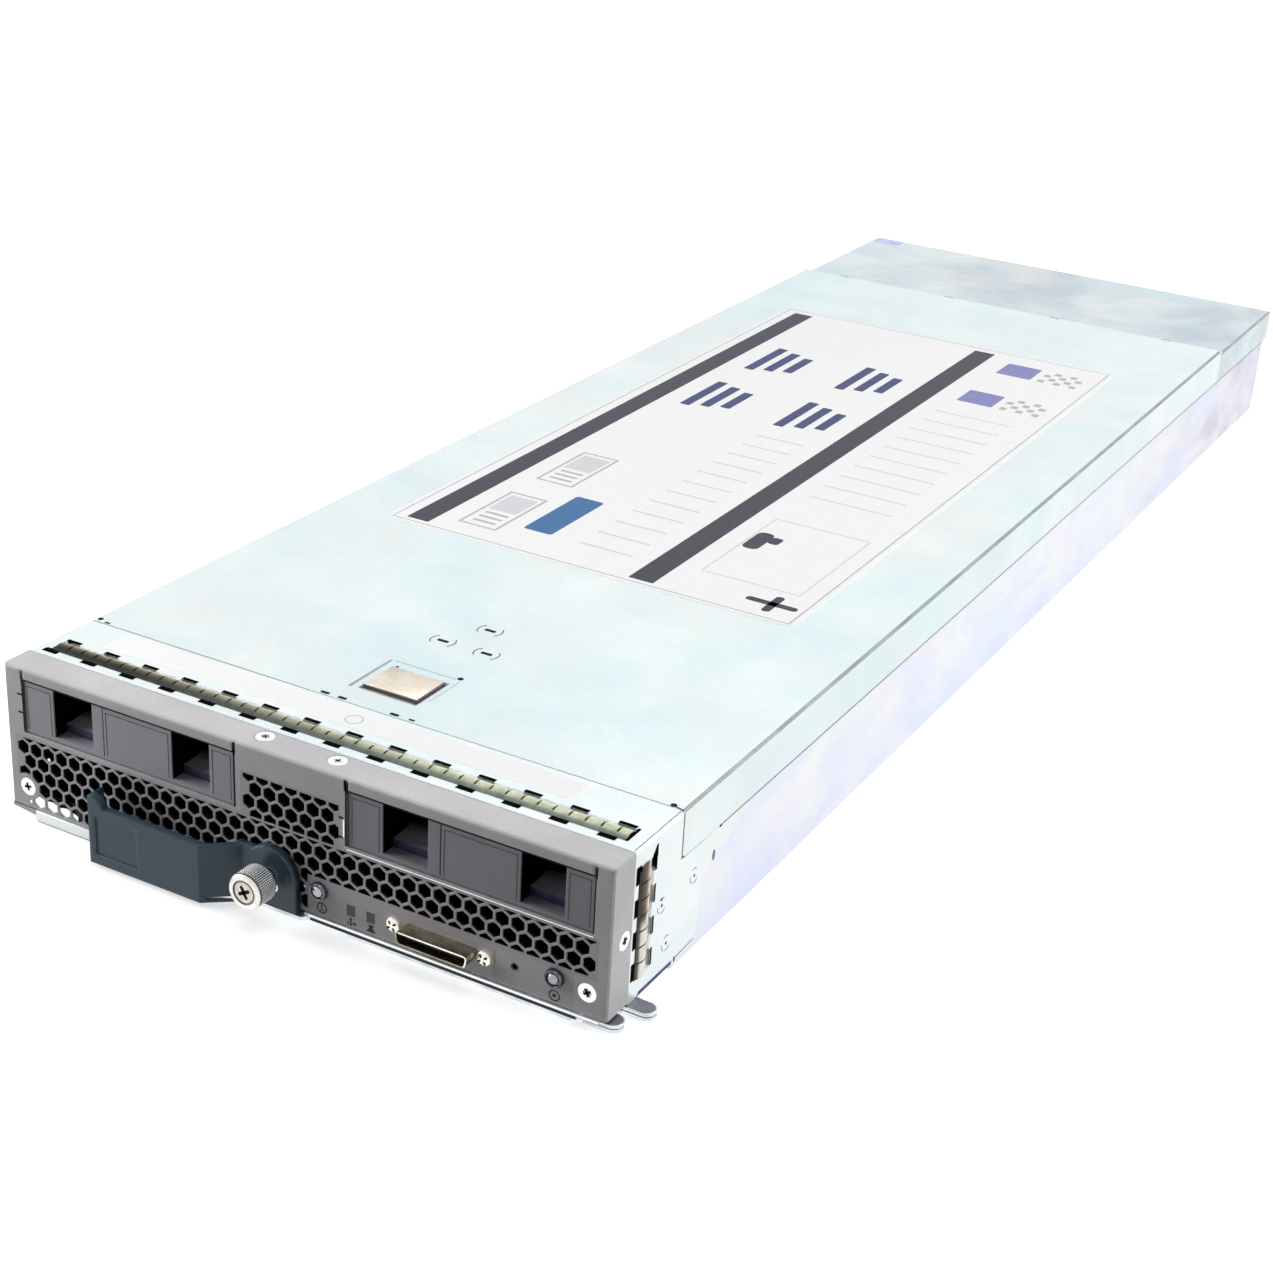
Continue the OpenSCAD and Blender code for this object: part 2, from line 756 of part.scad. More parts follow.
module memory_sockets() {
    half = module_len / 2;
    color("#2B2B30") at_front() memory_places() {
        difference() {
            block(-3.1, 3.1, -half - 4.5, half + 4.5, board_top, board_top + 7);
            block(-0.8, 0.8, -half - 0.15, half + 0.15, module_slot_z, board_top + 8);
        }
        block(-2.4, 2.4, -half - 4.5, -half - 0.15, board_top + 7, board_top + 17);
        block(-2.4, 2.4, half + 0.15, half + 4.5, board_top + 7, board_top + 17);
    }
}

module memory_modules() {
    half = module_len / 2;
    color("#2E6B45") at_front() memory_places() {
        block(-0.65, 0.65, -half, half, module_slot_z, module_slot_z + module_h);
        block(-1.9, 1.9, -half + 5, half - 5, module_slot_z + 6, module_slot_z + module_h - 5);
    }
}

module chipset_heat_sink() {
    color("#B9BEC3") at_front() {
        x = 34 - board_half;
        block(x, x + 36, 58, 94, board_top, board_top + 4);
        for (i = [0 : 8]) {
            block(x + i * 4.35, x + 1.2 + i * 4.35, 58, 94, board_top + 4, board_top + 15);
        }
    }
}

cell_x = board_half - 28;
cell_y = 76;

module coin_cell() {
    color("#D5D7D9") at_front() bar_z(cell_x, cell_y, 10, board_top + 1.2, board_top + 4.4);
}

module coin_cell_holder() {
    color("#26262A") at_front() difference() {
        union() {
            bar_z(cell_x, cell_y, 11.6, board_top, board_top + 3.6);
            block(cell_x - 4, cell_x + 4, cell_y + 9, cell_y + 14, board_top, board_top + 5.4);
        }
        bar_z(cell_x, cell_y, 10.1, board_top + 1.2, board_top + 8);
        block(cell_x - 5, cell_x + 5, cell_y - 14, cell_y - 8, board_top + 1.2, board_top + 8);
    }
}

module security_module() {
    color("#3E6E58") at_front() {
        block(34, 54, 66, 82, board_top + 4, board_top + 5.2);
        block(38, 50, 67, 71, board_top, board_top + 4);
        block(40, 48, 73, 80, board_top + 5.2, board_top + 6.4);
    }
}

module usb_port() {
    color("#CFD2D5") at_front() {
        difference() {
            block(6, 20.5, 50, 68, board_top, board_top + 7);
            block(6.5, 20, 49, 66, board_top + 0.5, board_top + 6.5);
        }
        block(7.5, 19, 54, 66.5, board_top + 3.4, board_top + 5);
    }
}

module card_slots() {
    color("#B8BCBF") at_front() for (x = [-22, 4 - board_half]) {
        difference() {
            block(x, x + 27, 58, 86, board_top, board_top + 3.4);
            block(x + 1.2, x + 25.8, 57, 82, board_top + 0.8, board_top + 2.9);
        }
    }
}

module power_parts() {
    color("#4A4A50") at_front() {
        mid_y = cpu_front_y + cpu_pitch_y / 2;
        for (i = [-4 : 4]) {
            block(i * 10.5 - 4, i * 10.5 + 4, mid_y - 4, mid_y + 4, board_top, board_top + 6);
        }
        for (i = [-4 : 4]) {
            bar_z(i * 10.5, cpu_y[1] + module_len / 2 + 14, 3.5, board_top, board_top + 9);
        }
    }
}

card_z = board_top + 8;
card_y0 = cpu_front_y + cpu_pitch_y + module_len / 2 + 22;
card_y1 = panel_y - 24;

module card_connectors() {
    color("#2B2B30") at_front() for (x = [-66, 30]) {
        block(x, x + 36, card_y0 + 12, card_y0 + 20, board_top, card_z);
        block(x, x + 36, card_y1 - 20, card_y1 - 12, board_top, card_z);
    }
}

module network_card() {
    color("#2F5A3C") at_front() {
        block(4, board_half - 6, card_y0, card_y1, card_z, card_z + board_t);
        block(30, 56, card_y0 + 40, card_y0 + 66, card_z + board_t, card_z + board_t + 3);
        block(64, 80, card_y0 + 20, card_y0 + 40, card_z + board_t, card_z + board_t + 5);
    }
}

module adapter_card() {
    color("#2F5A3C") at_front() {
        block(6 - board_half, -4, card_y0, card_y1, card_z, card_z + board_t);
        block(14 - board_half, 26 - board_half, card_y1 - 30, card_y1 - 12, card_z + board_t, card_z + board_t + 4);
    }
}

module adapter_heat_sink() {
    color("#BFC4C8") at_front() {
        block(-66, -20, card_y0 + 26, card_y0 + 76, card_z + board_t, card_z + board_t + 3);
        for (i = [0 : 9]) {
            block(-66 + i * 5, -65 + i * 5, card_y0 + 26, card_y0 + 76,
                card_z + board_t + 3, card_z + board_t + 16);
        }
    }
}

// ---------- rear ----------

plug_z = board_top;
guide_z = board_top + guide_r + 4;

module rear_panel() {
    color("#CDD2D8") at_front() difference() {
        along_y(panel_y, panel_y + tray_t) difference() {
            translate([-tray_in, tray_t]) square([2 * tray_in, rear_wall_top - tray_t]);
            hexagons(plug_z + plug_h + 5, rear_wall_top - 3, -tray_in + 4, tray_in - 4);
            hexagons(tray_t + 5, plug_z + plug_h + 4, guide_x + guide_r + 7, tray_in - 4);
            hexagons(tray_t + 5, plug_z + plug_h + 4, -tray_in + 4, -guide_x - guide_r - 7);
        }
        block(-plug_w / 2 - 0.3, plug_w / 2 + 0.3, panel_y - 1, tray_end, plug_z - 0.3, plug_z + plug_h + 0.3);
        for (s = [-1, 1]) {
            bar_y(s * guide_x, guide_z, guide_r + 2.4, panel_y - 1, tray_end);
        }
    }
}

module rear_connector() {
    cell = 4;
    cells = floor((plug_w - 4) / cell);
    color("#2A2A2E") at_front() difference() {
        block(-plug_w / 2, plug_w / 2, panel_y - 14, tray_end - 0.6, plug_z, plug_z + plug_h);
        for (i = [0 : cells - 1]) {
            x = (i - (cells - 1) / 2) * cell;
            for (z = [plug_z + plug_h * 0.28, plug_z + plug_h * 0.72]) {
                block(x - 1.1, x + 1.1, tray_end - 9, tray_end, z - plug_h * 0.17, z + plug_h * 0.17);
            }
        }
    }
}

module guide_sockets() {
    color("#C8CCD0") at_front() for (s = [-1, 1]) {
        difference() {
            union() {
                bar_y(s * guide_x, guide_z, guide_r + 2, panel_y - guide_len, tray_end - 0.6);
                block(s * guide_x - 5, s * guide_x + 5, panel_y - guide_len, panel_y - 3,
                    board_top, guide_z - guide_r);
            }
            bar_y(s * guide_x, guide_z, guide_r, tray_end - 0.6 - guide_len, tray_end);
        }
    }
}

// ---------- drive bays ----------

cage_back = blank_d + 16;
port_margin = 5;
port_pitch = board_half / 2;

module drive_cages() {
    color("#D4DAE6") at_front() for (b = bays) {
        x = b[0];
        bay_w = b[1];
        z1 = bay_z + bay_h;
        slot_step = (bay_w - 14) / 5;
        difference() {
            block(x - cover_t, x + bay_w + cover_t, bezel_t + 1.6, cage_back, bay_z - cover_t, z1 + cover_t);
            block(x, x + bay_w, 0, cage_back + 1, bay_z, z1);
            for (i = [0 : 4]) {
                block(x + 9 + i * slot_step, x + 17 + i * slot_step, 40, 90, bay_z - cover_t - 1, bay_z + 1);
            }
        }
        // legs that stand on the raised floor
        for (lx = [x - cover_t, x + bay_w]) {
            block(lx, lx + cover_t, frame_front + 4, lever_bay_d - 2, raised_z, bay_z);
        }
    }
}

module drive_backplane() {
    color("#2F5A3C") at_front() difference() {
        block(-board_half, board_half, cage_back, cage_back + board_t, board_top, bay_z + bay_h + 0.6);
        for (i = [0 : 3]) {
            x = port_margin - board_half + i * port_pitch;
            block(x, x + port_pitch - 2 * port_margin, cage_back - 1, cage_back + board_t + 1,
                board_top + 4, bay_z - 3);
        }
    }
}

module drive_connectors() {
    color("#2B2B30") at_front() for (b = bays) {
        mid = b[0] + b[1] / 2;
        difference() {
            block(mid - 21, mid + 21, cage_back - 7, cage_back, bay_z + 2.5, bay_z + 9);
            block(mid - 18, mid + 18, cage_back - 8, cage_back - 2, bay_z + 4.2, bay_z + 7.4);
        }
    }
}

// one drive-bay blank: two finger pockets in front and an open tray behind
module drive_blank(bay) {
    wall = 1.6;
    pad = 8.5;
    lo = bay[0] + blank_gap;
    hi = bay[0] + bay[1] - blank_gap;
    z0 = bay_z + blank_gap;
    z1 = bay_z + bay_h - blank_gap;
    // left and right edges of the two finger pockets
    pockets = [[lo + 11, lo + 11 + pocket_w], [hi - pad - pocket_w + 1, hi - pad]];
    difference() {
        block(lo, hi, 0.4, blank_d, z0, z1);
        for (p = pockets) {
            block(p[0], p[1], -1, pocket_d, z0 + wall - blank_gap, z1 + 1);
        }
        block(lo + wall, hi - wall, pocket_d + wall, blank_d - wall, z0 + wall, z1 + 1);
        // hollows behind the pads
        for (h = [[lo + 1.8, pockets[0][0] - wall], [pockets[0][1] + 5.6, pockets[1][0] - wall],
            [pockets[1][1] + 1.9, hi - 1.8]]) {
            block(h[0], h[1], 3, pocket_d + 0.2, z0 + wall, z1 + 1);
        }
        // joint line between the finger strip and the centre pad
        block(pockets[0][1] + 3.8, pockets[0][1] + 4.2, -1, 0.9, z0 + 0.8, z1 + 1);
    }
}

module blank_left() {
    color("#7C7880") at_front() drive_blank(bay_left);
}

module blank_right() {
    color("#7C7880") at_front() drive_blank(bay_right);
}

// ---------- front controls ----------

module console_shell() {
    color("#8A8778") at_front() translate([console_x, 0, console_z]) along_y(-console_out, control_y)
        difference() {
            rounded(console_w, console_h, 1.6);
            rounded(console_w - 1.2, console_h - 1.2, 1.1);
        }
}

// depth of the connector's insulating floor behind the panel face
socket_floor = 1.2;

module console_contacts() {
    color("#1C1C1E") at_front() translate([console_x, 0, console_z]) {
        along_y(socket_floor, control_y) rounded(console_w - 1.2, console_h - 1.2, 1.1);
        block(-console_w / 2 + 2.6, console_w / 2 - 2.6, -console_out / 4, socket_floor, -0.8, 0.8);
    }
}

// length of the tapped hole in a jack post
jack_bore_l = 6.5;

module jack_posts() {
    color("#D9C98F") at_front() for (s = [-1, 1]) {
        translate([console_x + s * jack_spacing / 2, 0, console_z]) difference() {
            union() {
                translate([0, -post_out, 0]) rotate([-90, 30, 0]) cylinder(r = post_r, h = post_out, $fn = 6);
                bar_y(0, 0, 1.6, 0, control_y);
            }
            bar_y(0, 0, jack_bore_r, -post_out - 1, jack_bore_l - post_out);
        }
    }
}

module control_board() {
    color("#2F5A3C") at_front() block(strip_left + 1, strip_right - 1, control_y, control_y + board_t,
        raised_z, strip_top - 0.4);
}

switch_y = control_y - 1.6;

module switches() {
    color("#3A3A3E") at_front() {
        for (x = [power_x, locator_x]) {
            block(x - 2.3, x + 2.3, switch_y, control_y, button_z - 3, button_z + 3);
        }
        block(reset_x - reset_w / 2, reset_x + reset_w / 2, switch_y, control_y, button_z - 3, button_z + 1.4);
    }
}

module light_pipes() {
    color("#E8E6DA") at_front() for (x = light_x) {
        block(x - light_w / 2 + 0.1, x + light_w / 2 - 0.1, 0.2, control_y,
            light_z - light_h / 2 + 0.1, light_z + light_h / 2 - 0.1);
    }
}

module button_rings() {
    color("#2E2E33") at_front() for (x = [power_x, locator_x]) {
        translate([x, 0, button_z]) difference() {
            bar_y(0, 0, button_r + 0.9, -0.5, bezel_t);
            bar_y(0, 0, button_r + 0.1, -1, bezel_t + 1);
        }
    }
}

module push_button(x) {
    bar_y(x, button_z, button_r, -0.9, switch_y - button_travel - 0.2);
    bar_y(x, button_z, button_r + 0.7, bezel_t + 0.3, bezel_t + 1.1);
}

module power_button() {
    color("#DADCDE") at_front() push_button(power_x);
}

module locator_button() {
    color("#DADCDE") at_front() push_button(locator_x);
}

module reset_plunger() {
    color("#D8D4C8") at_front() bar_y(reset_x, reset_z, 1.1, 3.4, switch_y - 0.3);
}

// ---------- ejector lever ----------

grip_reach = 60.4;
grip_left = -thumb_x - grip_reach;
grip_fold = grip_left + grip_len;
grip_z0 = lever_z - 0.8;
boss_left = -thumb_x - boss_r;
ear_r = 3.8;
grip_corner_r = 2.7;

module pivot_pin() {
    color("#C9CDD1") at_front() {
        bar_z(pivot_x, pivot_y, pivot_r + 1.6, 0.1, doubler_z - 0.1);
        bar_z(pivot_x, pivot_y, pivot_r, doubler_z - 0.1, floor_lift);
        bar_z(pivot_x, pivot_y, pivot_r - 0.8, floor_lift, raised_z);
        bar_z(pivot_x, pivot_y, pivot_r - 0.2, raised_z, raised_z + 1);
    }
}

claw_r = 2.9;

module claws() {
    translate([0, -pivot_y]) {
        for (claw = [[12.6, 3.5], [17, 12.9]]) {
            translate([5, claw[1] - claw_r]) square([claw[0] - 5, 2 * claw_r]);
            translate(claw) circle(r = claw_r, $fn = 32);
        }
    }
}

module lever_hub() {
    circle(r = 11.6, $fn = 64);
    claws();
}

module lever_plate() {
    arm_front = -0.9;
    color("#DFE3E6") at_front() translate([0, 0, lever_z]) linear_extrude(lever_t) difference() {
        union() {
            translate([pivot_x, pivot_y]) lever_hub();
            polygon([
                [grip_left + 4, 1.2 - grip_out], [grip_fold - 0.6, 1.2 - grip_out], [boss_left, -flat_front - 0.1],
                [boss_right + 1.6, -flat_front - 0.1], [boss_right + 3.1, arm_front], [pivot_x + 4, arm_front], [pivot_x, 20],
                [pivot_x - 14, 10], [boss_left, 9], [grip_fold, -2.4], [grip_left + 4, -2.4]
            ]);
        }
        translate([pivot_x, pivot_y]) circle(r = pivot_r + 0.05, $fn = 48);
    }
}

module lever_doubler() {
    color("#CDD2D6") at_front() {
        translate([0, 0, doubler_z]) linear_extrude(lever_t) difference() {
            union() {
                translate([pivot_x, pivot_y]) lever_hub();
                translate([20, -0.4]) square([pivot_x - 18, 8]);
            }
            translate([pivot_x, pivot_y]) circle(r = pivot_r + 0.05, $fn = 48);
        }
        // pressed spacers between the two plates
        for (x = [26, 50, 74]) {
            bar_z(x, 4, 2.4, doubler_z + lever_t, lever_z);
        }
    }
}

module grip_plan() {
    polygon([
        [grip_left, 3 - grip_out], [grip_left + 2.4, -grip_out], [grip_fold, -grip_out],
        [boss_left, -flat_front], [boss_left + 2, -flat_front], [boss_left + 2, -flat_back],
        [boss_left, -flat_back], [grip_fold + 0.7, grip_t - grip_out],
        [grip_left + grip_t, grip_t - grip_out], [grip_left + grip_t, -3.4], [grip_left, -3.4]
    ]);
}

module grip_front() {
    difference() {
        union() {
            translate([grip_left, grip_z0]) square([boss_left + 2 - grip_left, grip_top - grip_z0]);
            // raised ear at the free end
            translate([grip_left, grip_z0]) square([2 * ear_r, grip_top - 0.4 - grip_z0]);
            translate([grip_left + ear_r, grip_top - 0.4]) circle(r = ear_r, $fn = 40);
        }
        // rounded lower corner
        difference() {
            translate([grip_left - 1, grip_z0 - 1]) square([grip_corner_r + 1, grip_corner_r + 1]);
            translate([grip_left + grip_corner_r, grip_z0 + grip_corner_r]) circle(r = grip_corner_r, $fn = 48);
        }
    }
}

module handle_grip() {
    color("#27434F") at_front() difference() {
        union() {
            intersection() {
                linear_extrude(body_h) grip_plan();
                along_y(-grip_out - 1, 1) grip_front();
            }
            along_y(-flat_front, -flat_back) {
                translate([-thumb_x, thumb_z]) circle(r = boss_r, $fn = 72);
                translate([boss_left, lever_z + lever_t]) square([2 * boss_r, thumb_z - lever_z - lever_t]);
            }
        }
        bar_y(-thumb_x, thumb_z, thread_r + 0.15, -flat_front - 1, 1);
        // slot that takes the lever plate, and the space for it under the boss
        block(grip_left + grip_t - 1, boss_left + 2.1, 1.2 - grip_out, 1, lever_z, lever_z + lever_t);
        block(boss_left + 2, boss_left + 2 * boss_r + 1, -flat_front - 1, 1, -1, lever_z + lever_t);
        // shallow square panel on the front
        block(grip_left + 4.5, grip_left + 20, -grip_out - 1, 0.4 - grip_out, grip_z0 + 3, grip_top - 2.5);
    }
}

module screw_insert() {
    color("#C9CDD1") at_front() difference() {
        union() {
            bar_y(-thumb_x, thumb_z, thread_r + 1.5, 0.1, bezel_t);
            bar_y(-thumb_x, thumb_z, thread_r + 2.8, bezel_t, 5.6);
        }
        bar_y(-thumb_x, thumb_z, thread_r + 0.1, 0, 6);
    }
}

module screw_washer() {
    color("#E9EAEA") at_front() translate([-thumb_x, 0, thumb_z]) difference() {
        bar_y(0, 0, thread_r + 1.8, -head_back, -head_back + 0.5);
        bar_y(0, 0, thread_r + 0.05, -head_back - 1, -head_back + 1);
    }
}

module thumbscrew() {
    color("#E6E4DC") at_front() translate([-thumb_x, 0, thumb_z]) difference() {
        union() {
            bar_y(0, 0, thumb_r, -head_back - thumb_len, -head_back);
            bar_y(0, 0, thread_r, -head_back, -flat_back);
        }
        // knurl
        for (i = [0 : 35]) {
            rotate([0, i * 10, 0]) translate([thumb_r, 0, 0]) rotate([0, 45, 0])
                block(-0.25, 0.25, -head_back - thumb_len + 1, -head_back + 1, -0.25, 0.25);
        }
        // ring groove and cross recess in the face
        difference() {
            bar_y(0, 0, 3.7, -head_back - thumb_len - 1, -head_back - thumb_len + 0.5);
            bar_y(0, 0, 3.2, -head_back - thumb_len - 2, -head_back - thumb_len + 1);
        }
        block(-0.5, 0.5, -head_back - thumb_len - 1, -head_back - thumb_len + 2, -1.9, 1.9);
        block(-1.9, 1.9, -head_back - thumb_len - 1, -head_back - thumb_len + 2, -0.5, 0.5);
    }
}

// ---------- top cover ----------

rivet_places = [[-7.8, 86], [-0.2, 100.3], [7.7, 86]];
release_mid_y = release_y + release_l / 2;

module top_cover() {
    low_top = body_h - step_drop;
    color("#E6F1F4") at_front() difference() {
        union() {
            along_y(cover_front, step_y) channel(half_w, body_h, flange_z, cover_t);
            along_y(step_y - 1, body_d) channel(half_w, low_top, flange_z, cover_t);
            along_x(-half_w + 0.2, half_w - 0.2) polygon([
                [step_y - 1, body_h], [step_y, body_h], [step_y + 3.4, low_top], [step_y + 4, low_top],
                [step_y + 4, low_top - cover_t], [step_y + 3, low_top - cover_t],
                [step_y - 0.4, body_h - cover_t], [step_y - 1, body_h - cover_t]
            ]);
            // studs that ride in the tray's slots
            for (y = stud_y) {
                for (s = [-1, 1]) {
                    bar_x(y, stud_z, stud_r, s > 0 ? tray_in - 1 : -half_w + cover_t / 2,
                        s > 0 ? half_w - cover_t / 2 : -tray_in + 1);
                }
            }
        }
        // opening for the release button
        block(-release_w / 2 - release_gap, release_w / 2 + release_gap, release_y - release_gap - 1,
            release_y + release_l + release_gap, body_h - 2 * cover_t, body_h + 1);
        // tool slots along the front edge
        for (x = [-15.6, -9.6, 8.3, 14.1]) {
            block(x - 1, x + 1, cover_front + 0.9, cover_front + 1.7, body_h - 2 * cover_t, body_h + 1);
        }
        for (p = rivet_places) {
            bar_z(p[0], p[1], 1.2, body_h - 2 * cover_t, body_h + 1);
        }
        // small lances on the step line
        for (i = [0 : 3]) {
            x = 20.5 - half_w + i * (body_w - 45.6) / 3;
            block(x - 2.2, x + 2.2, step_y + 4.6, step_y + 5.4, low_top - 2 * cover_t, body_h);
        }
    }
}

module cover_rivets() {
    color("#C4CACC") at_front() for (p = rivet_places) {
        bar_z(p[0], p[1], 1.2, body_h - 2 * cover_t, body_h);
        bar_z(p[0], p[1], 2, body_h - 2 * cover_t - 0.8, body_h - 2 * cover_t);
    }
}

module latch_bracket() {
    under = body_h - cover_t;
    leg = release_w / 2 + 3.4;
    drop = 2 * cover_t + release_travel + 1;
    color("#C9CFD6") at_front() difference() {
        union() {
            block(-leg, leg, release_y + release_l + 3, 106, under - cover_t, under);
            block(-leg, -leg + cover_t, release_y - 3, release_y + release_l + 4, under - drop, under);
            block(leg - cover_t, leg, release_y - 3, release_y + release_l + 4, under - drop, under);
            block(-leg, leg, release_y - 3, release_y + release_l + 4, under - drop - cover_t, under - drop);
        }
        for (p = rivet_places) {
            bar_z(p[0], p[1], 1.2, under - 2 * cover_t, under + 1);
        }
        // clearance hole round the button's hook
        block(-4.4, 4.4, release_mid_y - 3, release_mid_y + 3, under - drop - 2, under - drop + 1);
    }
}

module release_button() {
    under = body_h - cover_t;
    color("#D8CFC4") at_front() {
        block(-release_w / 2, release_w / 2, release_y, release_y + release_l, under - 0.2, body_h + 0.2);
        block(-release_w / 2 - 1.8, release_w / 2 + 1.8, release_y - 1, release_y + release_l + 2,
            under - 1, under - 0.2);
        // hook that drops behind the frame's latch bar
        block(-4, 4, release_mid_y - 1, release_mid_y + 1, under - 2 * cover_t - release_travel - 3.4, under - 1);
    }
}

module cover_label() {
    label_l = body_d - label_front - label_rear;
    color("#F6F6F6") at_front() translate([-2.5, label_front + label_l / 2, body_h]) linear_extrude(0.12)
        rounded(body_w - 2 * label_side, label_l, 5);
}

base_tray();
front_frame();
front_bezel();
lower_grille();
centre_grille();
control_panel();
bezel_screws();
top_gasket();
side_gaskets();
system_board();
board_standoffs();
board_screws();
processor_sockets();
processors();
heat_sink_front();
heat_sink_rear();
heat_sink_screws();
memory_sockets();
memory_modules();
chipset_heat_sink();
coin_cell();
coin_cell_holder();
security_module();
usb_port();
card_slots();
power_parts();
network_card();
adapter_card();
adapter_heat_sink();
card_connectors();
rear_panel();
rear_connector();
guide_sockets();
drive_cages();
drive_backplane();
drive_connectors();
console_shell();
console_contacts();
jack_posts();
control_board();
switches();
light_pipes();
button_rings();
pivot_pin();
screw_insert();
lever_plate();
lever_doubler();
handle_grip();
screw_washer();
thumbscrew();
top_cover();
cover_label();
cover_rivets();
latch_bracket();
release_button();
power_button();
locator_button();
reset_plunger();
blank_left();
blank_right();
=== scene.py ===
# %% [markdown]
# # A half-width blade server
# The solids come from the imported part. This lesson gives them their finishes: zinc-coated
# sheet, textured powder coat, moulded plastic, spring strip and bright nickel. It also
# makes what is too small for the solids, such as the knurl, the printed label and the pads.

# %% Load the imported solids
from math import atan2, cos, hypot, pi, radians, sin

import bmesh
import bpy
from mathutils import Matrix, Vector


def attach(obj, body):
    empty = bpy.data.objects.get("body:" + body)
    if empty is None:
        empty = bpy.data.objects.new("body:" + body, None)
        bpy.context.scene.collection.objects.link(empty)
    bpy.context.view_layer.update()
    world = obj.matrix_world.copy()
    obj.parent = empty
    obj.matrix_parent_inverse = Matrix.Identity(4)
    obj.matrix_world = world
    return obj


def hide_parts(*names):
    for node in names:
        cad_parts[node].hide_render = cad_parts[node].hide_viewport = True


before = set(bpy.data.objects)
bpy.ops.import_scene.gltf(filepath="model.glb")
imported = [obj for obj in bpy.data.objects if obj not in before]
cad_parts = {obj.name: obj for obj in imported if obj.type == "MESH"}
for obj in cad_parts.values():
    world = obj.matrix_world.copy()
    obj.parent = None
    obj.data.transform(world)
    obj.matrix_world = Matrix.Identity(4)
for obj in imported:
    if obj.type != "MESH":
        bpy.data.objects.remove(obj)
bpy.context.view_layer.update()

FRONT_Y = -310.0  # the bezel's face in the row frame, in millimetres
scene = bpy.context.scene

# %% [markdown]
# ## The camera
# A long lens, a little above the blade and off its right front corner. The long body then
# runs away to the upper right, and the cover, the right side and the bezel all show.

# %% Camera
camera_data = bpy.data.cameras.new("camera")
camera_data.lens = 62.83
camera_data.sensor_width = 36.0
camera_data.clip_start = 0.05
camera = bpy.data.objects.new("camera", camera_data)
camera.location = (0.32636, -0.72859, 0.33419)
camera.rotation_euler = [radians(a) for a in (65.0638, -3.0580, 29.4512)]
scene.collection.objects.link(camera)
scene.camera = camera
print("camera at", tuple(round(v, 3) for v in camera.location))

# %% [markdown]
# ## Helpers for materials
# Colours are written as they look on a screen, and one function turns them to the linear
# values that the shaders work in. Another adds a node with its settings and its links. The
# rest are short forms of it: a blend, a range, noise, a sum and relief.

# %% Colour and node helpers
def paint(code):
    """A colour written as hex, turned from screen values to linear ones."""
    parts = [int(code[i:i + 2], 16) / 255 for i in (1, 3, 5)]
    return tuple(p / 12.92 if p <= 0.04045 else ((p + 0.055) / 1.055) ** 2.4 for p in parts) + (1.0,)


def feed(tree, node, inputs):
    """Fills a node's sockets, by name or number, with values or with links."""
    for key, value in inputs.items():
        if isinstance(value, bpy.types.NodeSocket):
            tree.links.new(value, node.inputs[key])
        else:
            node.inputs[key].default_value = value


def add(tree, kind, inputs=None, **settings):
    """Adds a shader node with its settings, and fills its sockets."""
    made = tree.nodes.new("ShaderNode" + kind)
    for key, value in settings.items():
        setattr(made, key, value)
    feed(tree, made, inputs or {})
    return made


def mix(tree, factor, first, second, blend="MIX"):
    """A blend of two colours."""
    sockets = {"Factor": factor, 6: first, 7: second}
    return add(tree, "Mix", sockets, data_type="RGBA", blend_type=blend).outputs[2]


def scaled(tree, value, near, far, low=0.0, high=1.0):
    """A value taken from one range to another and held at the ends."""
    sockets = {"Value": value, "From Min": near, "From Max": far, "To Min": low, "To Max": high}
    return add(tree, "MapRange", sockets).outputs[0]


def noise(tree, where, size_mm, detail, rough, distortion=0.0):
    """Noise whose features are about a size in millimetres."""
    sockets = {"Vector": where, "Scale": 1 / size_mm, "Detail": detail, "Roughness": rough}
    sockets["Distortion"] = distortion
    return add(tree, "TexNoise", sockets).outputs["Fac"]


def maths(tree, operation, first, second=0.0):
    """One sum on one or two numbers."""
    return add(tree, "Math", {0: first, 1: second}, operation=operation).outputs[0]


def relief(tree, height, strength, depth_m, edge=None):
    """Bump in the normal. edge is the radius in metres that sharp edges are drawn with."""
    sockets = {"Height": height, "Strength": strength, "Distance": depth_m}
    if edge is not None:
        sockets["Normal"] = add(tree, "Bevel", {"Radius": edge}, samples=4).outputs[0]
    return add(tree, "Bump", sockets).outputs[0]


FINISH = {}


def start(name):
    """A new material with its tree, its surface shader and the object coordinates in mm."""
    made = bpy.data.materials.new(name)
    made.use_nodes = True
    tree = made.node_tree
    tree.nodes.clear()
    surface = add(tree, "BsdfPrincipled")
    add(tree, "OutputMaterial", {"Surface": surface.outputs[0]})
    place = add(tree, "TexCoord").outputs["Object"]
    in_mm = add(tree, "Mapping", {"Vector": place, "Scale": (1000, 1000, 1000)}).outputs[0]
    made.diffuse_color = (0.6, 0.6, 0.6, 1)
    FINISH[name] = made
    return tree, surface, in_mm


print("material helpers ready")

# %% [markdown]
# ## Zinc-coated sheet
# The cover and the front frame are galvanised or electro-zinc sheet under a clear
# passivate. It gives the eye a very pale, slightly cyan grey with faint clouds a few
# centimetres across, fine grain, and a soft reflection. The tray's passivate is thicker, so
# it shows interference colours: lavender, rose and straw in slow patches.

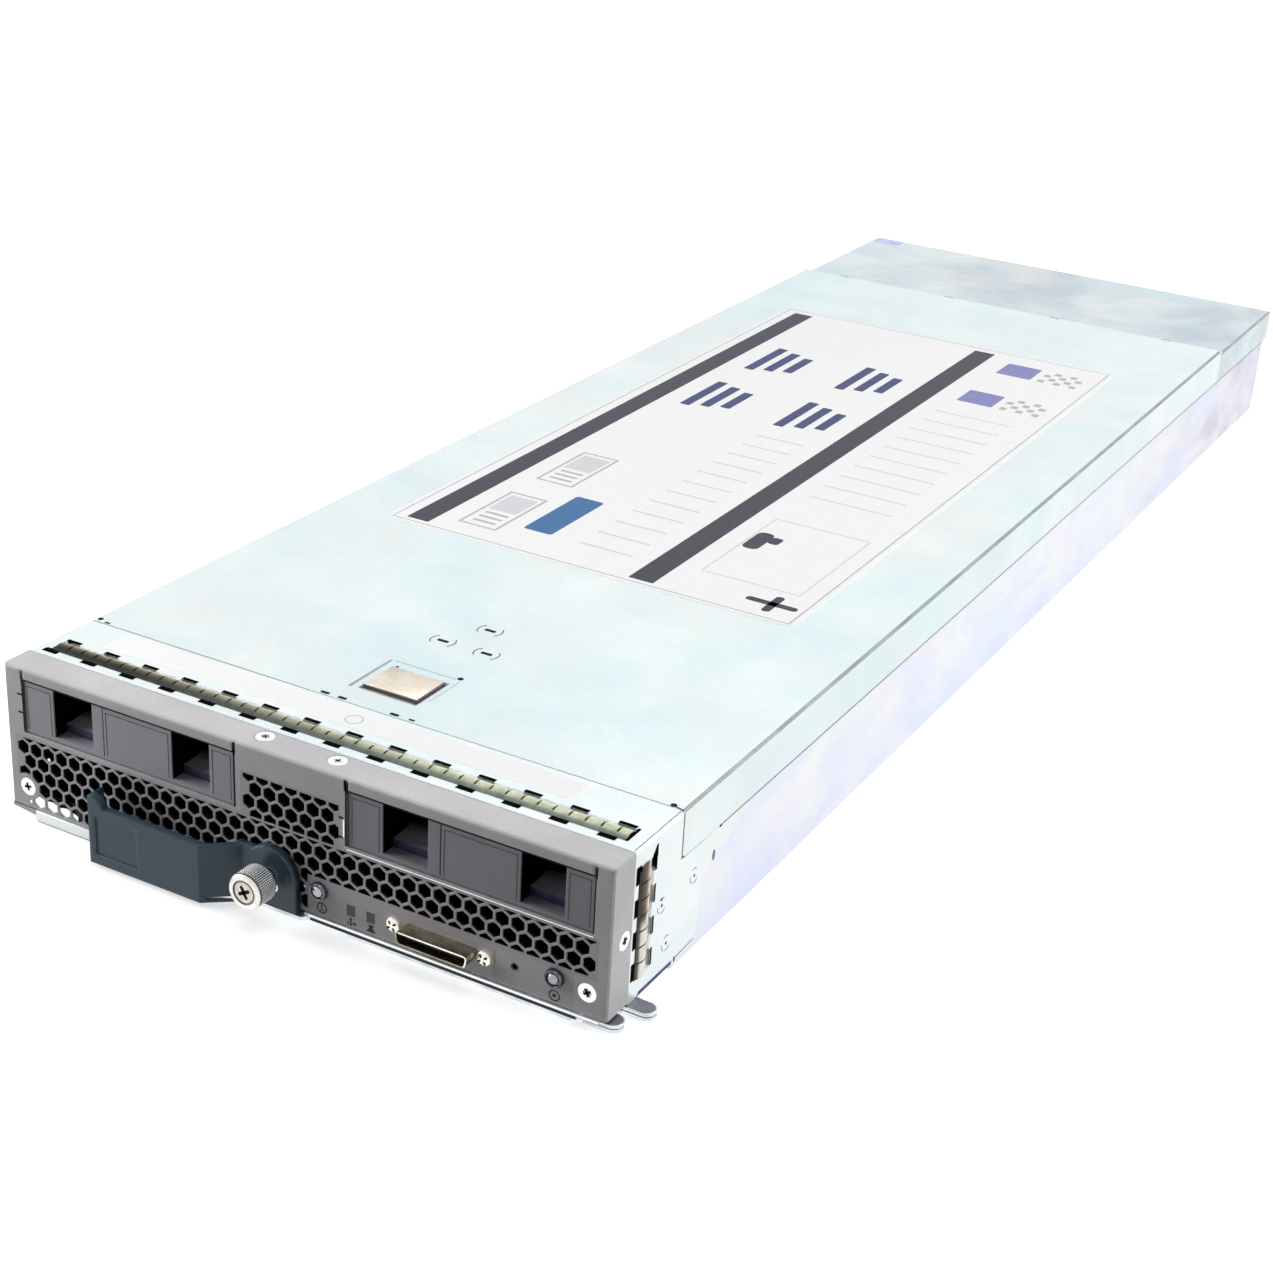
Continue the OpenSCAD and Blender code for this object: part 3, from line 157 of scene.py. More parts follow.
# %% Sheet-metal finishes
def coated_sheet(name, base, clouds, cloud_mm, rough, grain=0.05, stretch=(1, 1, 1), fades=()):
    """Zinc-coated steel. clouds is a list of (colour, how much, where in the noise). fades is
    a list of (axis, from_mm, to_mm, colour, how much): a change of colour along one axis."""
    tree, surface, mm = start(name)
    colour = paint(base)
    places = add(tree, "SeparateXYZ", {0: mm}).outputs
    for axis, near, far, tint, share in fades:
        colour = mix(tree, scaled(tree, places[axis], near, far, 0.0, share), colour, paint(tint))
    for number, (tint, share, offset) in enumerate(clouds):
        shift = {"Vector": mm, "Location": (offset, 37.0 * number, 11.0), "Scale": stretch}
        patch = noise(tree, add(tree, "Mapping", shift).outputs[0], cloud_mm, 5.0, 0.55, 0.6)
        colour = mix(tree, scaled(tree, patch, 0.42, 0.68, 0.0, share), colour, paint(tint))
    # the rolled sheet's grain, about 0.8 mm, drawn coarser than the real one so that it shows
    fine = noise(tree, mm, 0.8, 3.0, 0.7)
    shade = scaled(tree, fine, 0.3, 0.7, 1 - grain, 1 + grain * 0.4)
    feed(tree, surface, {
        "Base Color": mix(tree, 1.0, colour, shade, "MULTIPLY"), "Metallic": 0.6,
        "Roughness": scaled(tree, fine, 0.3, 0.7, rough - 0.05, rough + 0.07),
        "Normal": relief(tree, fine, 0.06, 0.0003, 0.00025)})


# from the joggle step, 536 mm behind the bezel's face, the cover turns greyer-blue: a painted reflection
coated_sheet("zinc_coated_cover_sheet", "#E2F1F3",
             [("#F3F8F7", 0.75, 0), ("#D2E8EC", 0.65, 210), ("#ECE8E6", 0.45, 90)],
             48, 0.36, fades=[(1, 225, 229, "#B9C7D3", 0.9)])
coated_sheet("front_frame_sheet", "#EAF4F5", [("#F8FBFA", 0.7, 40), ("#DCEBEF", 0.5, 250)], 30, 0.36)
# the tray's colour turns bluer towards its foot and greyer-lavender towards its rear
coated_sheet("passivated_tray_sheet", "#F0F5FA",
             [("#F8F4F4", 0.8, 30), ("#F4F6EE", 0.7, 160), ("#DFE8FB", 0.8, 300), ("#E6DEF5", 0.3, 70)],
             34, 0.34, stretch=(1, 0.8, 1.6),
             fades=[(2, 22, 4, "#D0DAF9", 0.7), (1, 80, 290, "#BBAFC8", 0.9)])
coated_sheet("galvanised_inner_sheet", "#C6CCD2",
             [("#DADFE2", 0.8, 15), ("#AEB6C0", 0.6, 120)], 14, 0.42, 0.12)
# painted shade: the darker grey laid on the sheet's bends, its front seam and the release frame's ridge
coated_sheet("painted_bend_shade", "#9DA6A8", [("#B4BCBD", 0.8, 15), ("#868F92", 0.6, 120)], 20, 0.4, 0.1)
coated_sheet("blue_tinted_zinc", "#BCC9F0", [("#D3DCF6", 0.8, 15), ("#A9B6E6", 0.6, 120)], 6, 0.36, 0.06)
print("sheet finishes:", len(FINISH))

# %% [markdown]
# ## Powder coat and mouldings
# The bezel is steel or zinc casting under a fine-textured silver-grey powder coat: grains
# of about half a millimetre, a dull sheen, no gloss. The blanks are moulded ABS of the same
# tone with a grain of about the same size. The grip is a satin glass-filled nylon in dark teal.

# %% Coated and moulded finishes
def textured(name, base, dark, grain_mm, rough, depth, metallic=0.0, specular=0.5, mottling=0.5, soft_mm=0.35,
             sunk=None, crown=None):
    """A surface of fine grains. sunk is (near mm, far mm, colour): painted shade that darkens holes
    with depth behind the face. crown is (low mm, high mm, radius mm) for an upper edge rounded over."""
    tree, surface, mm = start(name)
    grains = noise(tree, mm, grain_mm, 4.0, 0.75)
    mottle = maths(tree, "ADD", grains, noise(tree, mm, 26, 3.0, 0.5))
    colour = mix(tree, scaled(tree, mottle, 0.75, 1.2, 0.0, mottling), paint(base), paint(dark))
    places = add(tree, "SeparateXYZ", {0: mm}).outputs
    edge = soft_mm / 1000
    # painted shade: darker with depth behind the face
    if sunk:
        colour = mix(tree, scaled(tree, places[1], sunk[0], sunk[1]), colour, paint(sunk[2]))
    if crown:
        edge = scaled(tree, places[2], crown[0], crown[1], edge, crown[2] / 1000)
    feed(tree, surface, {
        "Base Color": colour, "Metallic": metallic, "Specular IOR Level": specular,
        "Roughness": scaled(tree, grains, 0.3, 0.7, rough - 0.08, rough + 0.08),
        "Normal": relief(tree, grains, depth, 0.0004, edge)})


textured("silver_grey_powder_coat", "#D4D2D3", "#B1AFB4", 0.5, 0.5, 0.35, metallic=0.1, mottling=0.6,
         crown=(45.8, 47.4, 1.6))
# the holes in the grilles and the control panel go black behind the face: painted shade
textured("vent_powder_coat", "#C6C3C6", "#A6A4AA", 0.5, 0.5, 0.3, metallic=0.1, mottling=0.6,
         sunk=(FRONT_Y + 0.2, FRONT_Y + 0.4, "#08080A"))
textured("moulded_abs_grey", "#BDBAC2", "#A5A1AB", 0.6, 0.52, 0.2, mottling=0.4)
# the right blank is darker than the left only as painted shade
textured("moulded_abs_right_shaded", "#A9A6AF", "#918E98", 0.6, 0.52, 0.2, mottling=0.4)
# the pockets' risers: dark blue as painted shade
textured("navy_riser_shade", "#3A4468", "#2A3252", 0.6, 0.4, 0.15, mottling=0.4)
# painted shade: the black sheet behind the vents
textured("painted_vent_shade", "#1B1B22", "#0E0D0C", 3.0, 0.8, 0.1, mottling=0.9, specular=0.0)
# the pocket ramps darken towards their backs: painted shade
textured("pocket_ramp_grey", "#DAD4DE", "#BFB8C6", 0.6, 0.5, 0.15, mottling=0.4,
         sunk=(FRONT_Y + 9.0, FRONT_Y + 14.5, "#12100F"))
# painted shade: black plates in the blanks' pockets and over the gasket slots
textured("painted_deep_shade", "#151310", "#0A0908", 0.8, 0.8, 0.1, mottling=0.4, specular=0.0)
# painted shadow: the dark line on the lever's front edge
textured("painted_lever_shadow", "#3C4250", "#2A2F3C", 0.8, 0.5, 0.1, mottling=0.5, specular=0.3)
textured("moulded_nylon_teal", "#2D4A5A", "#1E3844", 0.7, 0.36, 0.12, mottling=0.5, soft_mm=1.2)
# painted highlight: pale lines on the grip's rims
textured("teal_edge_highlight", "#7F97A3", "#5C7684", 0.7, 0.36, 0.12, mottling=0.4)
textured("moulded_black_connector", "#26262B", "#18181C", 0.8, 0.5, 0.15, mottling=0.5)
textured("epoxy_black_component", "#3B3B40", "#2C2C31", 0.9, 0.42, 0.2, mottling=0.5)
textured("natural_polymer_plunger", "#DDD9CE", "#C9C4B6", 0.8, 0.45, 0.1, mottling=0.4)
print("finishes so far:", len(FINISH))

# %% [markdown]
# ## Bright metals
# Plated and turned parts reflect more sharply than the sheets. Their tone varies a little
# with handling, and turned or brushed ones have fine lines along one direction.

# %% Plated, turned and brushed finishes
def bright_metal(name, base, dull, rough, stretch=(1, 1, 1), line_mm=0.5, crest=None):
    """A bare or plated metal. stretch draws its grain out into brushed or turned lines. crest
    is (x, z, low radius, high radius, colour): painted shade where a part round an axis lies low, as in a
    knurl's valleys."""
    tree, surface, mm = start(name)
    lines = noise(tree, add(tree, "Mapping", {"Vector": mm, "Scale": stretch}).outputs[0], line_mm, 4.0, 0.65)
    both = maths(tree, "ADD", lines, noise(tree, mm, 9, 4.0, 0.6))
    colour = mix(tree, scaled(tree, both, 0.8, 1.25), paint(base), paint(dull))
    if crest:
        x, z, low, high, valley_shade = crest
        spoke = add(tree, "Mapping", {"Vector": mm, "Location": (-x, 0, -z), "Scale": (1, 0, 1)}).outputs[0]
        radius = add(tree, "VectorMath", {0: spoke}, operation="LENGTH").outputs["Value"]
        colour = mix(tree, scaled(tree, radius, low, high), paint(valley_shade), colour)
    feed(tree, surface, {
        "Base Color": colour, "Metallic": 1.0,
        "Roughness": scaled(tree, both, 0.7, 1.3, rough * 0.75, rough * 1.4),
        "Normal": relief(tree, lines, 0.08, 0.0002, 0.00015)})


THUMB_X, THUMB_Z = -4.8, 12.8  # the thumbscrew's axis
bright_metal("bright_nickel", "#F4F3EC", "#CFCCC2", 0.24)
# the knurl's valleys darken: painted shade
bright_metal("knurled_nickel", "#FFFFFF", "#DADCE0", 0.4, line_mm=0.7,
             crest=(THUMB_X, THUMB_Z, 5.2, 5.52, "#3E4048"))
bright_metal("worn_nickel_face", "#D6D1C6", "#B0AA9F", 0.42, line_mm=0.9)
bright_metal("satin_button_nickel", "#B4B6BB", "#888A91", 0.24)
# also the finish of the painted highlights and glints on the bezel, the vents and the grip
bright_metal("bright_zinc_and_highlight", "#FCFDFD", "#E2E6E8", 0.3)
bright_metal("turned_steel_ring", "#74757C", "#3E3F46", 0.26)
# painted shade and painted reflection: a dull grey for the thumbscrew's face groove, the release plate's
# edges and the claws' tops
bright_metal("grey_shade_metal", "#86848B", "#69676F", 0.42)
bright_metal("zinc_plated_lever_steel", "#E4E8EB", "#B4BBC0", 0.3, (0.15, 1, 1), 0.6)
bright_metal("dull_tin_shell", "#B2AA98", "#6A6352", 0.26, (0.3, 1, 1), 1.6)
bright_metal("plated_jack_post", "#FFFDF4", "#E4DECB", 0.3, line_mm=1.0)
bright_metal("gold_flashed_contact", "#E2C27A", "#B08F4B", 0.22)
bright_metal("lacquered_brass", "#D6BE83", "#A88F55", 0.28)
bright_metal("brushed_aluminium_fin", "#CDD1D4", "#A3A8AD", 0.32, (1, 0.08, 1), 0.5)
bright_metal("beige_satin_button", "#EBE2D4", "#CDC0AE", 0.33, (0.15, 1, 1), 0.6)
bright_metal("nickel_plated_lid", "#CBCDCF", "#A9ACB0", 0.28)
print("finishes so far:", len(FINISH))

# %% [markdown]
# ## Spring strip
# The fingers that seal the blade against stray signals are stamped from bright spring strip.
# Painted light sets its colour: painted shade makes it dark olive where it dives into its slots,
# a painted highlight makes its crown cream, and a painted reflection leaves one end of the long
# row much darker than the other.

# %% Spring-strip finish
def spring_strip(name, axis, low, high, ends, along, near, far):
    """Thin spring strip. ends holds the colours across it, low to high, at its two ends."""
    tree, surface, mm = start(name)
    places = add(tree, "SeparateXYZ", {0: mm}).outputs
    across = scaled(tree, places[axis], low, high)
    ramps = []
    for stops in ends:
        ramp = add(tree, "ValToRGB", {0: across})
        while len(ramp.color_ramp.elements) < len(stops):
            ramp.color_ramp.elements.new(0.5)
        for element, (place, code) in zip(ramp.color_ramp.elements, stops):
            element.position = place
            element.color = paint(code)
        ramps.append(ramp.outputs[0])
    stains = noise(tree, mm, 3.5, 4.0, 0.65)
    colour = mix(tree, scaled(tree, places[along], near, far), *ramps)
    shade = scaled(tree, stains, 0.35, 0.65, 0.72, 1.05)
    feed(tree, surface, {
        "Base Color": mix(tree, 1.0, colour, shade, "MULTIPLY"), "Metallic": 0.5, "Roughness": 0.32,
        "Normal": relief(tree, stains, 0.1, 0.0002)})


# Across the top strip the dark front is painted shade and the cream crown a painted highlight; the shaded
# end's ramp is a painted reflection.
OLIVE_SHADED_END = [(0, "#0E0E0C"), (0.3, "#26241B"), (0.48, "#544D35"), (0.6, "#857B56"), (0.72, "#C4BD9C"),
              (0.85, "#F2F0E4")]
OLIVE_LIT_END = [(0, "#6E766F"), (0.28, "#8A928A"), (0.42, "#BFC59C"), (0.55, "#E2E5C4"), (0.7, "#F5F6E4"),
               (0.85, "#FFFFFF")]
TAN_LOW = [(0, "#0C0C0E"), (0.14, "#161617"), (0.26, "#6A6254"), (0.34, "#F2EADC"), (1, "#FFFDF6")]
TAN_HIGH = [(0, "#0C0C0E"), (0.12, "#161617"), (0.26, "#3E382C"), (0.44, "#5E5542"), (0.54, "#A8997F"),
            (0.62, "#F6ECE0")]
spring_strip("spring_strip_olive", 1, FRONT_Y + 14, FRONT_Y + 21, (OLIVE_SHADED_END, OLIVE_LIT_END), 0, -70, 40)
# Across the side strips the black front is painted shade and the cream back a painted highlight.
spring_strip("spring_strip_tan", 1, FRONT_Y + 12.5, FRONT_Y + 21.5, (TAN_LOW, TAN_HIGH), 2, 24, 27)
print("finishes so far:", len(FINISH))

# %% [markdown]
# ## Boards, light pipes and print
# A circuit board is glass-fibre laminate under green solder mask, with copper tracks that
# show as slightly lighter lines. The label is a white film with printed blocks.

# %% Board, light pipe, film and ink finishes
def solder_mask(name, base, track):
    """Glass-fibre board under solder mask, with tracks 1.2 mm apart."""
    tree, surface, mm = start(name)
    cells = add(tree, "TexVoronoi", {"Vector": mm, "Scale": 1 / 6.0}, distance="MANHATTAN")
    stripes = maths(tree, "FRACT", maths(tree, "MULTIPLY", cells.outputs["Distance"], 5.0))
    on_track = scaled(tree, stripes, 0.55, 0.65)
    feed(tree, surface, {
        "Base Color": mix(tree, on_track, paint(base), paint(track)), "Roughness": 0.32,
        "Normal": relief(tree, on_track, 0.15, 0.0001)})


def printed(name, base, dull, rough=0.5, specular=0.2):
    """Ink or film. Printed solids vary only a little, in a fine tooth."""
    tree, surface, mm = start(name)
    tooth = noise(tree, mm, 1.4, 3.0, 0.6)
    feed(tree, surface, {
        "Base Color": mix(tree, scaled(tree, tooth, 0.35, 0.7), paint(base), paint(dull)),
        "Roughness": scaled(tree, tooth, 0, 1, rough - 0.06, rough + 0.06), "Specular IOR Level": specular})


solder_mask("green_solder_mask", "#2C5B3C", "#3F7650")
printed("white_label_film", "#FFFFFF", "#FAFAFB", 0.4, 0.5)
printed("charcoal_ink", "#3A3A46", "#454551")
# also the painted shadow at the foot of the side plates
printed("navy_ink_and_shade", "#3D4570", "#4A5280")
printed("periwinkle_ink", "#8686BD", "#9696CC")
printed("grey_ink", "#B9BABF", "#C6C7CB")
printed("faint_ink", "#DADCE0", "#E4E5E8")
printed("blue_ink", "#3F6C9E", "#4C79AC")
# painted shade: black for slits, holes, gaps, seams, dimples and screw recesses
printed("painted_recess_shade", "#131316", "#1E1E23", 0.6, 0.1)
# painted shade: grey lines for grooves, rims and bevels
printed("painted_relief_shade", "#6C6A74", "#7A7882", 0.5)
# painted shade and painted reflection for gaps, bends, lances and shadows, and the grey oval's own colour
printed("painted_shade_and_mark_grey", "#7D888C", "#8B969A", 0.5)
# painted shading: pale lines along seams and edges
printed("painted_edge_shading", "#B7C4C8", "#C3CFD2", 0.5)
printed("milky_light_pipe", "#34343C", "#45454D", 0.25, 0.5)
print("finishes:", len(FINISH))

# %% [markdown]
# ## Give every solid its finish
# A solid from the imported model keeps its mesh, and only its material slots are filled.

# %% Finishes of the solids
DRESS = {
    "zinc_coated_cover_sheet": ["top_cover"],
    "front_frame_sheet": ["front_frame"],
    "passivated_tray_sheet": ["base_tray"],
    "galvanised_inner_sheet": ["drive_cages", "rear_panel", "latch_bracket"],
    "silver_grey_powder_coat": ["front_bezel"],
    "vent_powder_coat": ["lower_grille", "centre_grille", "control_panel"],
    "moulded_abs_grey": ["blank_left"],
    "moulded_abs_right_shaded": ["blank_right"],
    "moulded_nylon_teal": ["handle_grip"],
    "moulded_black_connector": ["console_contacts", "rear_connector", "card_connectors",
                                "drive_connectors", "memory_sockets", "coin_cell_holder",
                                "processor_sockets", "button_rings"],
    "epoxy_black_component": ["power_parts", "switches"],
    "natural_polymer_plunger": ["reset_plunger"],
    "bright_nickel": ["thumbscrew", "screw_washer", "power_button", "locator_button", "guide_sockets"],
    "bright_zinc_and_highlight": ["bezel_screws", "board_screws", "heat_sink_screws", "cover_rivets", "screw_insert"],
    "zinc_plated_lever_steel": ["lever_plate", "lever_doubler", "pivot_pin"],
    "spring_strip_olive": ["top_gasket"],
    "spring_strip_tan": ["side_gaskets"],
    "dull_tin_shell": ["console_shell"],
    "plated_jack_post": ["jack_posts"],
    "lacquered_brass": ["board_standoffs"],
    "brushed_aluminium_fin": ["heat_sink_front", "heat_sink_rear", "chipset_heat_sink", "adapter_heat_sink"],
    "beige_satin_button": ["release_button"],
    "nickel_plated_lid": ["processors", "coin_cell", "usb_port", "card_slots"],
    "green_solder_mask": ["system_board", "network_card", "adapter_card", "drive_backplane",
                          "control_board", "memory_modules", "security_module"],
    "white_label_film": ["cover_label"],
    "milky_light_pipe": ["light_pipes"],
}
for finish, names in DRESS.items():
    for name in names:
        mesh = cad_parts[name].data
        mesh.materials.clear()
        mesh.materials.append(FINISH[finish])
dressed = {name for names in DRESS.values() for name in names}
print("dressed:", len(dressed), "left plain:", sorted(set(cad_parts) - dressed))

# %% [markdown]
# ## Helpers for the small pieces
# Pieces are built in millimetres, with Y measured from the bezel's face as a drawing would
# have it, and brought into the model's frame at the end. Everything starts from a bmesh
# shape and is finished by bmesh operators.

# %% Piece helpers
MERGE_MM = 0.0005  # vertices nearer than this are one


def block(bm, x0, x1, y0, y1, z0, z1):
    """A box between two opposite corners."""
    size = Matrix.Diagonal((x1 - x0, y1 - y0, z1 - z0, 1))
    centre = Matrix.Translation(((x0 + x1) / 2, (y0 + y1) / 2, (z0 + z1) / 2))
    bmesh.ops.create_cube(bm, size=1, matrix=centre @ size)


def soften(bm, width):
    """Bevels the edges that turn by more than 30 degrees."""
    sharp = [e for e in bm.edges if len(e.link_faces) == 2 and e.calc_face_angle() > radians(30)]
    bmesh.ops.bevel(bm, geom=sharp, offset=width, segments=2, profile=0.5, material=-1, affect="EDGES")


def flat_shape(bm, points, z0, z1):
    """A flat outline in X and Y, made into a plate between two heights."""
    corners = [bm.verts.new((x, y, z0)) for x, y in points]
    face = bm.faces.new(corners)
    raised = bmesh.ops.extrude_face_region(bm, geom=[face])["geom"]
    top = [g for g in raised if isinstance(g, bmesh.types.BMVert)]
    bmesh.ops.translate(bm, verts=top, vec=(0, 0, z1 - z0))
    return corners + top


def rounded_points(x0, x1, y0, y1, r, steps=6):
    """The corner points of a rectangle with round corners."""
    points = []
    left, right, low, high = x0 + r, x1 - r, y0 + r, y1 - r
    for cx, cy, turn in ((right, high, 0), (left, high, 90), (left, low, 180), (right, low, 270)):
        for i in range(steps + 1):
            angle = radians(turn + 90 * i / steps)
            points.append((cx + r * cos(angle), cy + r * sin(angle)))
    return points


def finish_piece(bm, name, finish, body="chassis", smooth=True):
    """Closes a bmesh into a named piece at its place, with its finish, riding on a body."""
    bmesh.ops.remove_doubles(bm, verts=bm.verts, dist=MERGE_MM)
    bmesh.ops.recalc_face_normals(bm, faces=bm.faces)
    bmesh.ops.translate(bm, verts=bm.verts, vec=(0, FRONT_Y, 0))
    bmesh.ops.scale(bm, verts=bm.verts, vec=(0.001, 0.001, 0.001))
    mesh = bpy.data.meshes.new(name)
    bm.to_mesh(mesh)
    bm.free()
    mesh.materials.append(FINISH[finish])
    if smooth:
        mesh.shade_smooth()
        mesh.set_sharp_from_angle(angle=radians(32))
    piece = bpy.data.objects.new(name, mesh)
    scene.collection.objects.link(piece)
    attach(piece, body)
    print(name, len(mesh.polygons), "faces")
    return piece


# %% [markdown]
# ## Flat marks and hairlines
# Seams, slots, printed blocks and icons are thin plates that lie on a face. Each is drawn
# flat and then stood on the top, the front or a side by one matrix. A hairline that is too
# fine to show is drawn about 0.3 mm wide.

# %% Helpers for flat marks
TOP_Z, SIDE_X, TRAY_X = 49.4, 101.5, 100.4  # the cover's top, the front sheet's side, the tray's side
STANDS = {
    "top": Matrix(((1, 0, 0), (0, 1, 0), (0, 0, 1))),
    "front": Matrix(((1, 0, 0), (0, 0, -1), (0, 1, 0))),
    "right": Matrix(((0, 0, 1), (1, 0, 0), (0, 1, 0))),
    "left": Matrix(((0, 0, -1), (1, 0, 0), (0, 1, 0))),
}


def bar(x0, x1, y0, y1, r=0.0):
    """A rectangle's outline, with round corners where r is given."""
    return rounded_points(x0, x1, y0, y1, r, 3) if r else [(x0, y0), (x1, y0), (x1, y1), (x0, y1)]


def disc(cx, cy, r, count=16):
    """A round outline of so many corners."""
    turns = [2 * pi * i / count for i in range(count)]
    return [(cx + r * cos(a), cy + r * sin(a)) for a in turns]


def arc(cx, cy, r, t, start_deg, end_deg, steps=8):
    """A curved strip of width t round a centre."""
    angles = [radians(start_deg + (end_deg - start_deg) * i / steps) for i in range(steps + 1)]
    outer = [(cx + r * cos(a), cy + r * sin(a)) for a in angles]
    return outer + [(cx + (r - t) * cos(a), cy + (r - t) * sin(a)) for a in reversed(angles)]


def ring(cx, cy, r, t):
    """A full circle of width t, as two halves."""
    return [arc(cx, cy, r, t, 0, 180), arc(cx, cy, r, t, 180, 360)]


def frame_line(x0, x1, y0, y1, t):
    """Four thin strips that draw a rectangle."""
    return [bar(x0, x1, y0, y0 + t), bar(x0, x1, y1 - t, y1),
            bar(x0, x0 + t, y0 + t, y1 - t), bar(x1 - t, x1, y0 + t, y1 - t)]


def stood(bm, outline, face, near, far):
    """A flat outline made into a plate between two levels, out from the middle or the bezel."""
    bmesh.ops.transform(bm, matrix=STANDS[face].to_4x4(), verts=flat_shape(bm, outline, near, far))


def cross(cx, cy, turn, long=1.25, wide=0.34, r=0.0):
    """Two crossed bars, as the outline of each."""
    made = []
    for angle in (radians(turn), radians(turn + 90)):
        c, s = cos(angle), sin(angle)
        made.append([(cx + c * u - s * v, cy + s * u + c * v) for u, v in bar(-long, long, -wide, wide, r)])
    return made


def marks(name, finish, outlines, body, face, level, thick=0.03):
    """Thin plates on one face of the object. level is that face's own height, depth or side."""
    made = bmesh.new()
    for outline in outlines:
        stood(made, outline, face, level, level + thick)
    finish_piece(made, name, finish, body, smooth=False)


def on_front(name, finish, outlines, out=0.0, thick=0.03, body="chassis"):
    """Marks that stand out from the bezel's face by a distance."""
    marks(name, finish, outlines, body, "front", out, thick)


def on_top(name, finish, outlines, body="cover", lift=0.0, thick=0.03):
    """Marks on the cover or on the front sheet's top."""
    marks(name, finish, outlines, body, "top", TOP_Z + lift, thick)


print("faces that marks can lie on:", sorted(STANDS))

# %% [markdown]
# ## The knurled thumbscrew
# The screw that locks the ejector lever has a knurled head, so that fingers can turn it, and
# a cross recess for a driver. Its outline is spun round the axis; then the points of the grip
# between the crests are pushed in, so that rows of pyramids are left, as a knurling wheel does.

# %% Thumbscrew
HEAD_FRONT, HEAD_BACK = -13.6, -5.86
GRIP_R, STEM_R = 5.6, 1.85
KNURLS, KNURL_ROWS = 108, 19
VALLEY_SHARE = 0.92
CROSS_TURN = 28


def spun(bm, outline, steps, x, z):
    """Spins an outline of (radius, y) points round an axis along Y, at a place."""
    older = set(bm.verts)
    chain = [bm.verts.new((r, y, 0)) for r, y in outline]
    edges = [bm.edges.new(pair) for pair in zip(chain, chain[1:])]
    bmesh.ops.spin(bm, geom=chain + edges, cent=(0, 0, 0), axis=(0, 1, 0), dvec=(0, 0, 0),
                   angle=2 * pi, steps=steps, use_merge=True, use_duplicate=False)
    bmesh.ops.remove_doubles(bm, verts=bm.verts, dist=MERGE_MM)
    bmesh.ops.translate(bm, verts=[v for v in bm.verts if v not in older], vec=(x, 0, z))


bm = bmesh.new()
row_step = (HEAD_BACK - HEAD_FRONT - 1.7) / (KNURL_ROWS - 1)
grip_y = [HEAD_FRONT + 0.9 + i * row_step for i in range(KNURL_ROWS)]
face, groove = HEAD_FRONT + 0.1, HEAD_FRONT + 0.45
outline = [(0.0, face), (3.1, face), (3.2, groove), (3.65, groove), (3.75, HEAD_FRONT), (4.9, HEAD_FRONT)]
outline += [(5.35, groove)] + [(GRIP_R, y) for y in grip_y] + [(5.25, HEAD_BACK - 0.35), (4.6, HEAD_BACK)]
outline += [(STEM_R, HEAD_BACK), (STEM_R, -0.5), (1.5, -0.25), (0.0, -0.25)]
spun(bm, outline, KNURLS, THUMB_X, THUMB_Z)
valleys = []
for v in bm.verts:
    across, up = v.co.x - THUMB_X, v.co.z - THUMB_Z
    if abs(hypot(across, up) - GRIP_R) < 0.02 and grip_y[0] - 0.01 < v.co.y < grip_y[-1] + 0.01:
        row = round((v.co.y - grip_y[0]) / row_step)
        column = round(atan2(up, across) / (2 * pi) * KNURLS)
        if row % 2 or column % 2:
            valleys.append(v)
bmesh.ops.scale(bm, verts=valleys, vec=(VALLEY_SHARE, 1, VALLEY_SHARE),
                space=Matrix.Translation((-THUMB_X, 0, -THUMB_Z)))
for f in bm.faces:
    middle = f.calc_center_median()
    reach = hypot(middle.x - THUMB_X, middle.z - THUMB_Z)
    if grip_y[0] - 0.2 < middle.y < grip_y[-1] + 0.3:
        f.material_index = 1
    elif middle.y < HEAD_FRONT + 0.5 and reach < 3.15:
        f.material_index = 2
    # the ring groove round the face takes painted shade
    elif middle.y < HEAD_FRONT + 0.5 and reach < 3.74:
        f.material_index = 3
thumbscrew = finish_piece(bm, "knurled_thumbscrew", "bright_nickel", "thumbscrew")
for finish in ("knurled_nickel", "worn_nickel_face", "grey_shade_metal"):
    thumbscrew.data.materials.append(FINISH[finish])
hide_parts("thumbscrew")

# the cross recess: a thin dark star of painted shade on the face
star = cross(THUMB_X, THUMB_Z, CROSS_TURN, 2.1, 0.52, 0.35)
on_front("thumbscrew_cross", "painted_recess_shade", star, -face, 0.06, "thumbscrew")

# %% [markdown]
# ## Pads and pockets of the drive blanks
# A blank's face is four pads, each with a moulded hairline inside its edge drawn as a line of
# painted shade, and two pockets for the fingers. A pocket's walls are black with painted shade.
# Its floor starts with a riser painted dark blue as shade, and over that a ramp curves up to the
# back: painted shade takes it from pale at the front to black at the back.

